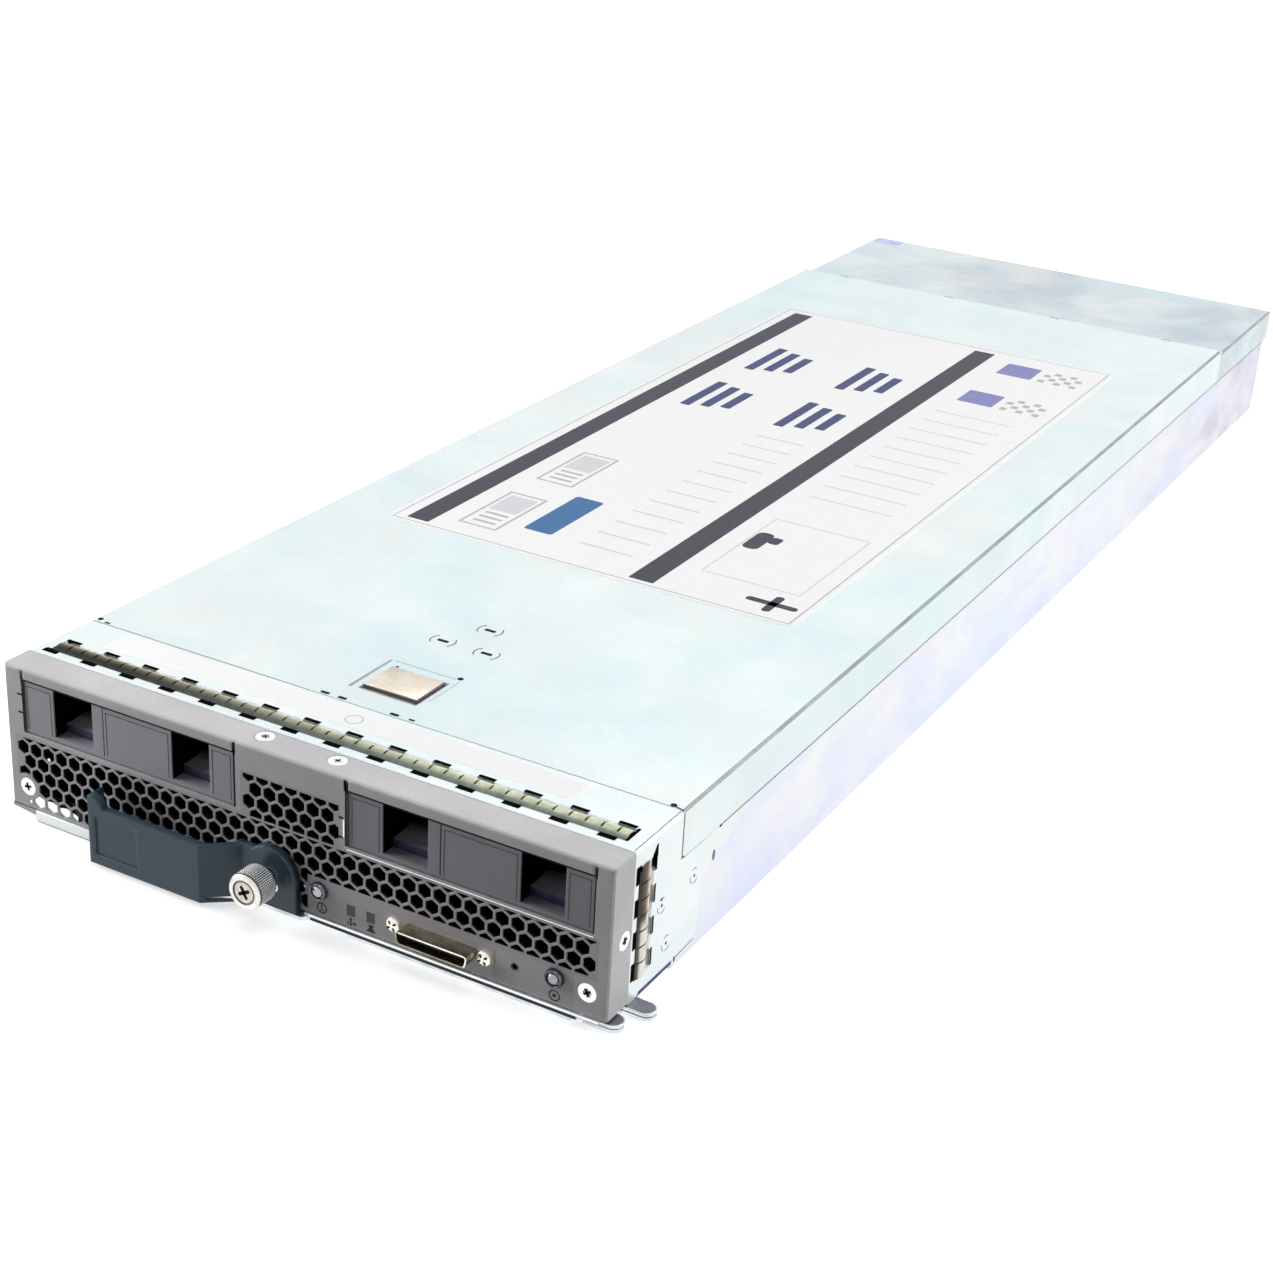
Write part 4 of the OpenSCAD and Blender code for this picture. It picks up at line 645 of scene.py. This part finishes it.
# %% Blank pads and pockets
BAYS = {"blank_left": -94.8, "blank_right": 19.6}
POCKETS = ((11.0, 25.4), (54.0, 67.4))
PADS = ((0.0, 11.0), (29.4, 54.0), (67.4, 75.9))
PAD_LOW, PAD_HIGH = 29.15, 45.55
LINE = 0.3
POCKET_LOW, POCKET_HIGH, POCKET_BACK = 30.5, 46.3, 14.9
RISER_Y, RISER_TOP, RAMP_LONG = 4.8, 33.1, 9.0
for body, bay in BAYS.items():
    lo = bay + 0.35
    line_low, line_high = PAD_LOW + 1.2, PAD_HIGH - 1.4
    lines = []
    for a, b in PADS:
        near, far = lo + a + 0.9, lo + b - 1.0
        lines += [bar(near, near + LINE, line_low, line_high), bar(near, far, line_high - LINE, line_high),
                  bar(far - LINE, far, line_low, line_high)]
    on_front(body + "_pad_lines", "painted_relief_shade", lines, -0.39, body=body)
    bm = bmesh.new()
    for a, b in POCKETS:
        left, right = lo + a, lo + b
        block(bm, left + 0.05, left + 0.25, 0.8, POCKET_BACK, POCKET_LOW, POCKET_HIGH)
        block(bm, right - 0.25, right - 0.05, 5.0, POCKET_BACK, POCKET_LOW, POCKET_HIGH)
        block(bm, left + 0.25, right - 0.25, POCKET_BACK - 0.3, POCKET_BACK, POCKET_LOW, POCKET_HIGH)
    finish_piece(bm, body + "_pocket_wall_shade", "painted_deep_shade", body, smooth=False)
    bm = bmesh.new()
    for a, b in POCKETS:
        grid = bmesh.ops.create_grid(bm, x_segments=8, y_segments=8, size=0.5)["verts"]
        for v in grid:
            u, w = v.co.x + 0.5, v.co.y + 0.5
            rise = (0.6 + 1.6 * u * u * (3 - 2 * u)) * w * w
            v.co = (lo + a + 0.3 + u * (b - a - 0.6), RISER_Y + RAMP_LONG * w, RISER_TOP + 0.05 + rise)
    finish_piece(bm, body + "_scoops", "pocket_ramp_grey", body)
    bm = bmesh.new()
    for a, b in POCKETS:
        block(bm, lo + a + 0.3, lo + b - 0.3, RISER_Y, 14.5, POCKET_LOW - 0.05, RISER_TOP)
    finish_piece(bm, body + "_risers", "navy_riser_shade", body, smooth=False)

# %% [markdown]
# ## The bezel's small lines
# Dark slits of painted shade stand beside the bays, with short ticks where the latches hook in.
# A bright edge by the right bay's clip is a painted highlight, and the lower edge of the right bay
# is a thin sill that faces up and shines with a painted highlight. The gap over the blanks is a
# dark line of painted shade. The steel lip of the tray and a short foot show under the bezel's left end.

# %% Bezel slits, sill and lip
side_slits = [bar(-95.15, -94.55, 29.2, 47.0), bar(-18.5, -17.9, 28.9, 47.4, 0.2),
              bar(19.0, 19.6, 28.9, 48.4), bar(96.0, 96.35, 29.0, 45.6),
              bar(-18.5, -17.7, 45.6, 49.0, 0.2), bar(18.6, 19.5, 45.6, 49.0, 0.2)]
top_gaps = [bar(x0, x1, 45.64, 46.1) for x0, x1 in ((-94.5, -18.5), (19.7, 96.1))]
left_ticks = [bar(-96.9, -95.1, z, z + 0.6) for z in (40.6, 34.8)]
right_ticks = [bar(16.9, 18.4, z, z + 0.6) for z in (36.9, 31.0)]
on_front("bay_slits", "painted_recess_shade", side_slits + top_gaps + left_ticks + right_ticks)
on_front("bay_clip_highlight", "bright_zinc_and_highlight", [bar(18.35, 18.8, 31.4, 36.8)], 0.02)
bm = bmesh.new()
stood(bm, [(-0.1, 27.9), (0.35, 28.75), (0.35, 27.9)], "right", 19.6, 96.2)
finish_piece(bm, "bay_sill_highlight", "bright_zinc_and_highlight", smooth=False)
bm = bmesh.new()
LIP_END = -61.5
block(bm, -92.3, LIP_END, -0.4, 1.4, 0.6, 3.8)
soften(bm, 0.15)
finish_piece(bm, "tray_lip", "front_frame_sheet")
on_front("tray_lip_foot", "grey_ink", [bar(-92.0, LIP_END, 0.3, 0.6)], 0.38)
foot = [(-101.3, 2.9), (-92.9, 2.1), (-92.3, 2.9), (-92.3, 4.2), (-101.3, 4.2)]
on_front("bezel_foot", "silver_grey_powder_coat", [foot], -1.3, 1.3)

# %% Dark crosses of painted shade in the screw heads
on_front("front_screw_crosses", "painted_recess_shade", cross(-95.2, 10.8, 15) + cross(95.2, 10.8, 35), -0.02, 0.05)
top_crosses = cross(-12.8, 7.1, 40, 1.1, 0.22) + cross(11.5, 7.1, 65, 0.8, 0.2)
on_top("top_screw_crosses", "painted_recess_shade", top_crosses, "chassis", -0.04)
for side in ("right", "left"):
    side_cross = cross(7.3, 24.9, 20, 1.2, 0.4)
    marks("side_screw_cross_" + side, "painted_recess_shade", side_cross, "chassis", side, SIDE_X - 0.06, 0.04)

# %% [markdown]
# ## What shows behind the vents
# The space behind a vent is too dark to see into, so a thin black sheet of painted shade hangs
# behind the holes, with a gap for the thumbscrew. At the lower left a bright plate just inside
# the holes is a painted highlight that stands for the tray's upturned lip, and a few bright dots
# are painted glints.

# %% Behind the vents
VENT_LEFT, LIP_RIGHT, VENT_FOOT = -98.4, -76.5, 4.9
on_front("vent_dark", "painted_vent_shade", [
    bar(VENT_LEFT, 97.8, 15.2, 27.5), bar(LIP_RIGHT, -7.4, VENT_FOOT, 15.2), bar(-2.2, 5.2, VENT_FOOT, 15.2),
    bar(VENT_LEFT, LIP_RIGHT, 9.6, 15.2), bar(-15.8, 17.4, 27.5, 41.1)], -1.55)
lip_top = [(LIP_RIGHT, 6.6), (-80.5, 7.9), (-83, 7.4), (-86, 8.3), (-89, 7.9), (-92, 8.9), (-95, 8.4),
           (VENT_LEFT, 9.2)]
on_front("vent_lip_highlight", "bright_zinc_and_highlight", [[(LIP_RIGHT, VENT_FOOT), *lip_top, (VENT_LEFT, VENT_FOOT)]], -0.3)
glints = [disc(x, z, r, 8) for x, z, r in ((-92.6, 21.6, 0.5), (-86.4, 22.2, 0.55), (-94.3, 12.6, 0.8))]
on_front("vent_glints", "bright_zinc_and_highlight", glints, -0.25)

# %% [markdown]
# ## The console connector
# A drawn tin shell, narrower below than above so that the plug goes in one way up, stands on
# a thin plate between two round-headed posts. Inside it a tongue carries two rows of
# gold-flashed contacts. It is slimmer than the plain solids, so three pieces replace them.

# %% Console shell
CONSOLE_X, CONSOLE_Z, CONSOLE_OUT = 50.3, 10.1, 5.2
POSTS_X, POST_REACH, POST_OUT = 49.6, 14.5, 1.3
on_front("console_plate", "vent_powder_coat", [bar(32.6, 67.2, 5.0, 13.6, 0.3)], 0.0, 0.05)


def tapered(half_width, half_height, r):
    """A round-cornered outline that narrows towards its foot."""
    return [(CONSOLE_X + x * (1 + 0.03 * z / half_height), CONSOLE_Z + z)
            for x, z in rounded_points(-half_width, half_width, -half_height, half_height, r, 4)]


bm = bmesh.new()
outer, inner = tapered(11.2, 1.95, 1.2), tapered(10.75, 1.5, 0.8)
stations = ((outer, 0), (outer, -CONSOLE_OUT), (inner, -CONSOLE_OUT), (inner, 0))
rings = [[bm.verts.new((x, y, z)) for x, z in outline] for outline, y in stations]
for near, far in zip(rings, rings[1:] + rings[:1]):
    for i in range(len(near)):
        j = (i + 1) % len(near)
        side = bm.faces.new((near[i], near[j], far[j], far[i]))
        middle = side.calc_center_median()
        # the front rim's upper and right faces take the bright post finish: a painted highlight
        highlit_rim = middle.z > CONSOLE_Z + 1.4 or middle.x > CONSOLE_X + 10.5
        if near is rings[1] and highlit_rim and middle.x > CONSOLE_X - 10.3:
            side.material_index = 1
shell = finish_piece(bm, "console_drawn_shell", "dull_tin_shell")
shell.data.materials.append(FINISH["plated_jack_post"])
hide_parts("console_shell")

# %% Console contacts and posts
bm = bmesh.new()
stood(bm, inner, "front", 1.2, 0.1)
block(bm, CONSOLE_X - 8.8, CONSOLE_X + 8.8, -3.6, -1.2, CONSOLE_Z - 0.3, CONSOLE_Z + 0.3)
core = finish_piece(bm, "console_contact_core", "moulded_black_connector", smooth=False)
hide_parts("console_contacts")
bm = bmesh.new()
for i in range(17):
    x = CONSOLE_X - 8.0 + i
    for z in (CONSOLE_Z + 0.3, CONSOLE_Z - 0.42):
        block(bm, x - 0.28, x + 0.28, -3.4, -1.25, z, z + 0.12)
finish_piece(bm, "console_gold_contacts", "gold_flashed_contact", smooth=False)
bm, crosses = bmesh.new(), []
dome = [(0.0, -POST_OUT - 0.05), (0.9, -1.32), (1.6, -1.15), (2.1, -0.75), (2.3, 0.0), (0.0, 0.0)]
for x in (POSTS_X - POST_REACH, POSTS_X + POST_REACH):
    spun(bm, dome, 24, x, CONSOLE_Z)
    crosses += cross(x, CONSOLE_Z, 35, 1.7, 0.3)
posts = finish_piece(bm, "console_post_heads", "plated_jack_post")
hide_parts("jack_posts")
# dark crosses of painted shade in the post heads
on_front("console_post_recesses", "painted_recess_shade", crosses, POST_OUT)

# %% [markdown]
# ## Push buttons, their rings and icons
# Each button is a shallow bright dome inside a turned ring. Under it an engraved symbol
# says what it is for, and under the two light windows are two more. They are plain
# symbols: a ring with a stroke, a ring with a dot, a few short bars, and a wedge.

# %% Buttons and icons
BUTTON_Z = 12.0
POWER_ICON, LOCATOR_ICON = (11.2, 6.7), (85.6, 6.4)
button = [(0.0, -1.75), (0.7, -1.69), (1.3, -1.48), (1.62, -1.16), (1.72, -0.9), (0.0, -0.9)]
collar = [(1.95, -0.5), (1.95, -1.2), (2.15, -1.45), (2.5, -1.35), (2.75, -0.9), (2.8, 0.0)]
for name, x in (("power", 10.4), ("locator", 85.6)):
    bm = bmesh.new()
    spun(bm, button, 24, x, BUTTON_Z)
    finish_piece(bm, name + "_dome", "satin_button_nickel", name + "_button")
    bm = bmesh.new()
    spun(bm, collar, 28, x, BUTTON_Z)
    finish_piece(bm, name + "_ring", "turned_steel_ring")
    # a dark ring of painted shade in the gap round the dome
    on_front(name + "_gap", "painted_recess_shade", ring(x, BUTTON_Z, 2.14, 0.2), 1.3)
icons = ring(*POWER_ICON, 1.75, 0.42) + [bar(10.95, 11.4, 6.6, 7.8), bar(10.6, 11.8, 5.8, 6.2)]
icons += ring(*LOCATOR_ICON, 1.75, 0.42) + [disc(*LOCATOR_ICON, 0.6, 12)]
icons += [bar(20.6, 21.2, 5.6, 7.0), bar(19.7, 20.3, 4.9, 5.5), bar(21.6, 22.6, 5.0, 5.7)]
icons += [disc(20.9, 4.9, 0.45, 8), [(25.9, 4.7), (29.2, 4.7), (27.6, 6.7)], bar(26.8, 28.4, 6.3, 7.0)]
on_front("control_icons", "charcoal_ink", icons)
# a ring of painted shade round the reset hole
on_front("reset_rim", "painted_relief_shade", ring(73.3, 10.6, 1.25, 0.3))
on_front("window_panes", "milky_light_pipe", [bar(x, x + 2.7, 7.6, 10.8, 0.3) for x in (19.65, 26.15)], -0.15)

# %% [markdown]
# ## The grip's glints and the claws' faces
# The rim round the boss and the grip's own panel carry pale lines of painted highlight. The claws
# at the other end of the lever are steel; a grey face on their tops is painted reflection, so
# their cut edges look brighter. Under the bezel a bright strip over the gap is a painted
# highlight, and a dark line on the lever's front edge is painted shadow.

# %% Grip rim and claw faces
LEVER = "ejector_lever"
boss_rims = [arc(THUMB_X, THUMB_Z, 8.4, 0.28, 8, 62), arc(THUMB_X, THUMB_Z, 6.5, 0.25, -40, 10)]
on_front("grip_boss_highlight", "teal_edge_highlight", boss_rims, 2.4, body=LEVER)
on_front("grip_boss_glint", "bright_zinc_and_highlight", [arc(-3.9, 9.7, 2.0, 0.45, -45, 25, 5)], 2.42, body=LEVER)
on_front("plate_glint", "bright_zinc_and_highlight", [disc(5.4, 11.7, 0.4, 10)])
web = [(-16, 15), (THUMB_X, 15), (-5.6, 21.4), (-9.5, 20.0), (-16, 19.9)]
on_front("grip_web", "moulded_nylon_teal", [web], 0.4, 1.98, LEVER)
on_front("grip_panel_highlight", "teal_edge_highlight", frame_line(-60.6, -45.3, 4.4, 16.9, 0.16), 10.0, 0.02, LEVER)
CLAW_ROOT, CLAW_HALF, CLAW_TIPS = 95.0, 2.6, ((101.6, 3.5), (106.0, 12.9))
nose = [radians(a) for a in range(15, 180, 15)]
claws = []
for x, y in CLAW_TIPS:
    tip = [(x + 2.55 * sin(a), y - 2.55 * cos(a)) for a in nose]
    front, back = y - CLAW_HALF, y + CLAW_HALF
    claws.append([(CLAW_ROOT, front), (x, front), *tip, (x, back), (CLAW_ROOT, back)])
marks("claw_face_shade", "grey_shade_metal", claws, LEVER, "top", 3.1, 0.04)

# a bright strip of painted highlight over the gap under the bezel
bm = bmesh.new()
block(bm, 5.8, 99.5, -0.9, -0.1, 3.15, 3.85)
finish_piece(bm, "lever_gap_highlight", "bright_zinc_and_highlight", smooth=False)
# a dark line of painted shadow on the lever's front edge
on_front("lever_edge", "painted_lever_shadow", [bar(7.8, 92.8, 2.12, 3.05)], 0.9, 0.04, LEVER)

# %% [markdown]
# ## The printed label
# A white film with a generic drawing of how the inside is laid out: two long rules, rows of
# bars that stand for memory, and plain blocks. It has no words and no maker's drawing.

# %% Label print
FILM_Z = 49.52
RULE_Y = (161, 465)
BAR_GROUPS = [(x, y) for x in (-46, -5) for y in (340, 396)]
SMALL_BOXES = (168, 218)


def ink(name, finish, outlines):
    """One colour of print on the label's film."""
    marks(name, finish, outlines, "cover", "top", FILM_Z)


ink("label_rules", "charcoal_ink", [bar(-73, -64.5, *RULE_Y, 0.3), bar(13.5, 22.5, *RULE_Y, 0.3)])
ink("label_border", "grey_ink", frame_line(-77.5, 72.5, 158.5, 469.5, 0.5))
bars = []
for cx, cy in BAR_GROUPS:
    for k in range(3):
        left, half = cx - 9.5 + 7.4 * k, 17 - 3 * k
        bars.append(bar(left, left + 4.2, cy - half, cy + half, 0.6))
ink("label_memory_bars", "navy_ink_and_shade", bars)
ink("label_plain_blocks", "periwinkle_ink", [bar(32, 47, y, y + 16, 0.6) for y in (397, 441)])
ink("label_checks", "grey_ink", [bar(50 + 3.4 * i, 52.8 + 3.4 * i, y + 4.1 * j, y + 3.3 + 4.1 * j)
                                 for y in (397, 441) for i in range(5) for j in range(4) if (i + j) % 2 == 0])
boxes = [strip for y in SMALL_BOXES for strip in frame_line(-57, -42, y, y + 34, 0.9)]
boxes += [bar(-54, -45, y + k, y + k + 1.4) for y in SMALL_BOXES for k in (4, 8, 12)]
ink("label_outlines", "grey_ink", boxes)
ink("label_outline_blocks", "faint_ink", [bar(-55, -44, y + 16, y + 31, 0.4) for y in SMALL_BOXES])
ink("label_blue_block", "blue_ink", [bar(-36, -25, 176, 212, 1.2)])
left_lines = [bar(-14, 6, y, y + 1.0) for y in range(176, 320, 12)]
right_lines = [bar(30, 62, y, y + 0.9) for y in range(262, 380, 13)]
ink("label_faint_lines", "faint_ink", left_lines + right_lines + frame_line(30, 66, 180, 236, 0.6))
ink("label_dark_shapes", "charcoal_ink", [bar(31, 37, 206, 222, 2.4), bar(37, 41, 214, 220, 1.2),
                                          bar(52, 70, 168, 171, 1.2), bar(60, 63, 163, 176, 1.2)])

# %% [markdown]
# ## Marks and bends of the cover and the front sheet
# Clinched fasteners show as a dash with an arc at either side, both painted shade. The sheet's
# bend radius reflects the dark side of the room, so a grey line of painted reflection runs along
# the cover. The seam between the cover and the front sheet is a fine step, drawn as a line of
# painted shade with a black hole of painted shade at each end.

# %% Cover marks and bends
BEND_R = 1.4
dashes, arcs = [], []
for cx, cy in ((-7.8, 86.0), (-0.2, 100.3), (7.7, 86.0)):
    dashes.append(bar(cx - 1.9, cx + 1.9, cy - 0.75, cy + 0.75, 0.5))
    arcs += [arc(cx, cy, 4.2, 0.4, 42, -42), arc(cx, cy, 4.2, 0.4, 138, 222)]
dashes += [bar(x - 1.5, x + 1.5, 37.2, 38.5, 0.5) for x in (-15.6, -9.6, 8.3)]
on_top("clinch_dashes", "painted_recess_shade", dashes + [bar(13.2, 15.2, 37.4, 38.3, 0.4)])
on_top("clinch_arcs", "painted_relief_shade", arcs)
holes = [disc(97.6, 37.5, 0.95), disc(-99.4, 38.6, 0.9), bar(-96.9, -94.9, 37.2, 38.0, 0.3)]
on_top("corner_holes", "painted_recess_shade", holes)
corner = [(98.0, 36.9), (101.3, 36.2), (101.3, 36.65), (98.0, 37.4)]
on_top("corner_seams", "painted_recess_shade", [corner], "chassis")
seam = [(-100.5, 36.3), (-20, 36.35), (30, 36.5), (-20, 36.75), (-100.5, 36.9)]
on_top("front_seam", "painted_bend_shade", [seam], "chassis")
seam = [(-20, 36.35), (97, 36.4), (97, 36.7), (-20, 36.75)]
on_top("front_seam_right", "painted_edge_shading", [seam], "chassis", 0.001)
on_top("blank_white_strip", "white_label_film", [bar(-86, 74, 24.4, 34.4, 0.8)], "chassis", 0.0, 0.05)
on_top("inspection_ring", "grey_ink", ring(1.0, 28.9, 2.7, 0.32), "chassis", 0.05)
on_top("lance_shadows", "painted_shade_and_mark_grey", [arc(x, 533.4, 3.0, 0.7, 40, 140) for x in (-80.9, -27.6, 24.2, 76.4)])
marks("rear_tab", "blue_tinted_zinc", [bar(-99, -86.5, 611.5, 619.6, 1.0)], "cover", "top", 47.82, 0.12)


def bend_strip(name, finish, body, side, y0, y1, top=TOP_Z, start_deg=22, end_deg=72):
    """A thin part of a quarter-round that lies on a bend and carries its painted reflection."""
    made = bmesh.new()
    outline = arc(SIDE_X - BEND_R, top - BEND_R, BEND_R + 0.03, 0.1, start_deg, end_deg, 6)
    stood(made, [(side * x, z) for x, z in outline], "front", -y0, -y1)
    finish_piece(made, name, finish, body)


bend_strip("cover_bend_right", "painted_bend_shade", "cover", 1, 36.9, 535.5)
bend_strip("cover_bend_rear", "painted_bend_shade", "cover", 1, 537.5, 619.8, 47.8)
bend_strip("cover_bend_left", "painted_bend_shade", "cover", -1, 36.9, 535.5)
bend_strip("frame_bend_right", "painted_shade_and_mark_grey", "chassis", 1, 11.2, 36.0, TOP_Z, 62, 74)
bend_strip("frame_bend_left", "painted_bend_shade", "chassis", -1, 11.2, 36.0)

# %% [markdown]
# ## The release button
# The button is a satin plate with drawn edges that sits in a shallow pressed frame; grey strips
# of painted shade lie along its front and right edges. The frame's left edge is a soft ridge
# and its rear edges are fine lines, both drawn in painted shade, and it ends in a small round pit
# at the back, painted dark.

# %% Release button
bm = bmesh.new()
block(bm, -9.3, 8.8, 47.9, 61.9, 48.9, 50.15)
soften(bm, 0.35)
finish_piece(bm, "release_plate", "beige_satin_button", "release_button")
bm = bmesh.new()
block(bm, -9.5, 9.0, 47.55, 47.9, 48.7, 49.95)
block(bm, 8.8, 9.15, 47.9, 61.9, 48.7, 49.95)
finish_piece(bm, "release_plate_edge_shade", "grey_shade_metal", "release_button", smooth=False)
on_top("release_frame_left", "painted_bend_shade", [bar(-13.0, -12.2, 45.2, 66.2, 0.35)], thick=0.12)
rear_lines = [bar(-11.5, 10.2, 66.2, 66.6, 0.15), bar(11.6, 11.9, 50, 65.5, 0.1)]
on_top("release_frame_rear", "painted_edge_shading", rear_lines, thick=0.04)
on_top("release_frame_pit", "painted_recess_shade", [disc(10.8, 67.4, 0.95), disc(-8.6, 63.4, 0.5, 10)])

# %% [markdown]
# ## Marks on the sides
# The cover's flange ends in a dark gap over the tray, drawn as painted shade; near the front a
# strip in the sheet's colour paints that shade out. The front plate's slit, its pressed dimples,
# its rear edge, the shadows at its foot and a grey oval on the tray repeat on both sides; the slit
# and dimples are drawn in painted shade and the rear edge as a painted highlight.

# %% Side marks
DIMPLES = ((44.7, 25.7), (26.7, 25.5), (30.5, 11.9))
oval_turns = [radians(24 * i) for i in range(15)]
oval = [(58.2 + 0.9 * cos(a), 25.2 + 1.7 * sin(a)) for a in oval_turns]
rims = [arc(y, z, 2.4, 0.28, a, a + 60, 5) for y, z in DIMPLES for a in (60, 170, 260)]
slit = [bar(36.35, 36.75, 35.2, 48.6), bar(36.4, 37.9, 35.0, 35.4, 0.15)]
foot = [[(15.0, 3.2), (34.4, 3.2), (34.4, 4.3), (16.5, 4.5)], bar(35.5, 36.5, 3.1, 4.6, 0.2)]
# each row: name, finish, outlines in Y and Z, the face's distance from the middle, thickness
SIDE_MARKS = [
    ("flange_gap_shade", "painted_shade_and_mark_grey", [bar(61.5, 536, 32.9, 34.5), bar(536, 617, 32.9, 34.5)], TRAY_X, 0.04),
    ("flange_painted_light", "front_frame_sheet", [bar(37.3, 60.4, 32.9, 34.1)], TRAY_X, 0.06),
    ("flange_hook", "painted_recess_shade", [bar(60.6, 62.0, 32.6, 35.2, 0.4)], TRAY_X, 0.06),
    ("front_slit", "painted_recess_shade", slit, SIDE_X, 0.03),
    ("dimple_dots", "painted_recess_shade", [disc(y, z, 0.5, 10) for y, z in (*DIMPLES, (26.4, 27.6))], SIDE_X, 0.03),
    ("dimple_rims", "painted_relief_shade", rims, SIDE_X, 0.03),
    ("side_oval", "painted_shade_and_mark_grey", [oval], TRAY_X, 0.03),
    ("plate_edge", "painted_edge_shading", [bar(49.6, 49.95, 8, 33.8)], TRAY_X, 0.06),
    ("plate_foot_shadow", "navy_ink_and_shade", foot, SIDE_X, 0.03),
    ("plate_bevel", "painted_relief_shade", [[(36.6, 4.0), (46.6, 4.5), (46.6, 4.8), (36.6, 4.35)]], SIDE_X, 0.03),
    ("plate_shadow", "painted_shade_and_mark_grey", [[(49.7, 6.6), (50.0, 6.4), (37.4, 2.6), (36.9, 2.7)]], TRAY_X, 0.06),
]
for side in ("right", "left"):
    for name, finish, outlines, level, thick in SIDE_MARKS:
        marks(name + "_" + side, finish, outlines, "chassis", side, level, thick)

# %% [markdown]
# ## Black slots round the spring fingers
# The front sheet has a row of slots before and behind the fingers, and the space under
# them is dark. A thin dark plate of painted shade lies over each slot's opening.

# %% Gasket slot shade
FINGERS, FINGER_SPAN, FIRST_FINGER = 14, 2 * 96.4 - 5.6, -94.4
tops = []
for i in range(FINGERS):
    x = FIRST_FINGER + i * FINGER_SPAN / (FINGERS - 1)
    tops += [bar(x - 4.3, x + 1.1, 12.55, 14.6, 0.2), bar(x - 2.7, x + 2.7, 21.35, 22.55, 0.2)]
tops += [bar(-97.0, -96.4, 14.5, 20.5), bar(95.9, 96.9, 14.2, 21.6)]
on_top("top_slot_shade", "painted_deep_shade", tops, "chassis", -0.04, 0.055)
bm = bmesh.new()
stood(bm, arc(17.6, 46.62, 3.6, 0.1, 112, 150), "right", -96, 96)
finish_piece(bm, "top_finger_shoulder", "spring_strip_olive")
SIDE_PITCH = 9.7
gaps = [bar(12.6, 21.6, 42.2, 43.4), [(18.6, 42.2), (21.6, 39.5), (22.7, 43.0), (22.7, 46.4), (21.9, 46.4)]]
for i in range(4):
    z = SIDE_PITCH * (i + 1)
    gaps += [bar(11.4, 13.4, z, min(z + 5.4, 43.4)), bar(21.7, 22.5, z, min(z + 5.4, 43.0))]
for side in ("right", "left"):
    marks("side_slot_shade_" + side, "painted_deep_shade", gaps, "chassis", side, SIDE_X, 0.02)

# %% [markdown]
# ## Floor and light
# A pale floor keeps the soft shadow under the blade. It sends little light back up, gains
# glow with distance until it is white, and shows bright in the part's reflections. Large
# lamps overhead and to the right light the cover fully, while the bezel, which faces down
# towards the camera, stays darker. A small lamp at the left lifts the bezel's own left end.

# %% Floor, world and lamps
NEAR_GLOW, FAR_GLOW, MIRRORED_GLOW = 0.52, 1.0, 1.1
GLOW_FROM, GLOW_TO = 0.45, 1.1  # metres from the blade's middle
ROOM_LIGHT = 0.07
WHITE = (1, 1, 1, 1)
bpy.ops.mesh.primitive_plane_add(size=14, location=(0, 0, 0))
floor = bpy.context.object
floor.name = "floor"
tree = start("pale_floor")[0]
tree.nodes.clear()
place = add(tree, "TexCoord").outputs["Object"]
path = add(tree, "LightPath").outputs
shade = mix(tree, path["Is Camera Ray"], paint("#5A5A5A"), WHITE)
diffuse = add(tree, "BsdfDiffuse", {"Color": shade})
reach = add(tree, "VectorMath", {0: place}, operation="LENGTH").outputs["Value"]
level = scaled(tree, reach, GLOW_FROM, GLOW_TO, NEAR_GLOW, FAR_GLOW)
lift = maths(tree, "MULTIPLY", path["Is Camera Ray"], level)
mirrored = maths(tree, "MULTIPLY", path["Is Glossy Ray"], MIRRORED_GLOW)
glow = add(tree, "Emission", {"Color": WHITE, "Strength": maths(tree, "ADD", lift, mirrored)})
both = add(tree, "AddShader", {0: diffuse.outputs[0], 1: glow.outputs[0]})
add(tree, "OutputMaterial", {"Surface": both.outputs[0]})
floor.data.materials.append(FINISH["pale_floor"])

world = bpy.data.worlds.new("studio")
scene.world = world
world.use_nodes = True
tree = world.node_tree
tree.nodes.clear()
path = add(tree, "LightPath").outputs
seen = maths(tree, "MAXIMUM", path["Is Camera Ray"], path["Is Glossy Ray"])
clear = maths(tree, "MAXIMUM", seen, path["Is Transmission Ray"])
sky = add(tree, "Background", {"Color": WHITE, "Strength": scaled(tree, clear, 0, 1, ROOM_LIGHT, 1.0)})
add(tree, "OutputWorld", {"Surface": sky.outputs[0]})


def softbox(name, where, towards, size, power):
    """A square area lamp at a place, facing a point."""
    lamp = bpy.data.lights.new(name, "AREA")
    lamp.shape = "SQUARE"
    lamp.size = size
    lamp.energy = power
    made = bpy.data.objects.new(name, lamp)
    made.location = where
    made.rotation_euler = (Vector(towards) - Vector(where)).to_track_quat("-Z", "Y").to_euler()
    scene.collection.objects.link(made)


softbox("overhead", (0.1, 0.25, 1.7), (0, 0.0, 0), 1.6, 18.2)
softbox("right_side", (1.7, 0.3, 0.8), (0, 0, 0.02), 1.2, 24)
softbox("left_front", (-0.5, -0.47, 0.2), (-0.1, -0.31, 0.02), 0.3, 2.0)

# %% [markdown]
# ## Colour and finish
# The view settings stay plain, so that a colour renders about as it is written.

# %% View settings
scene.view_settings.view_transform = "Standard"
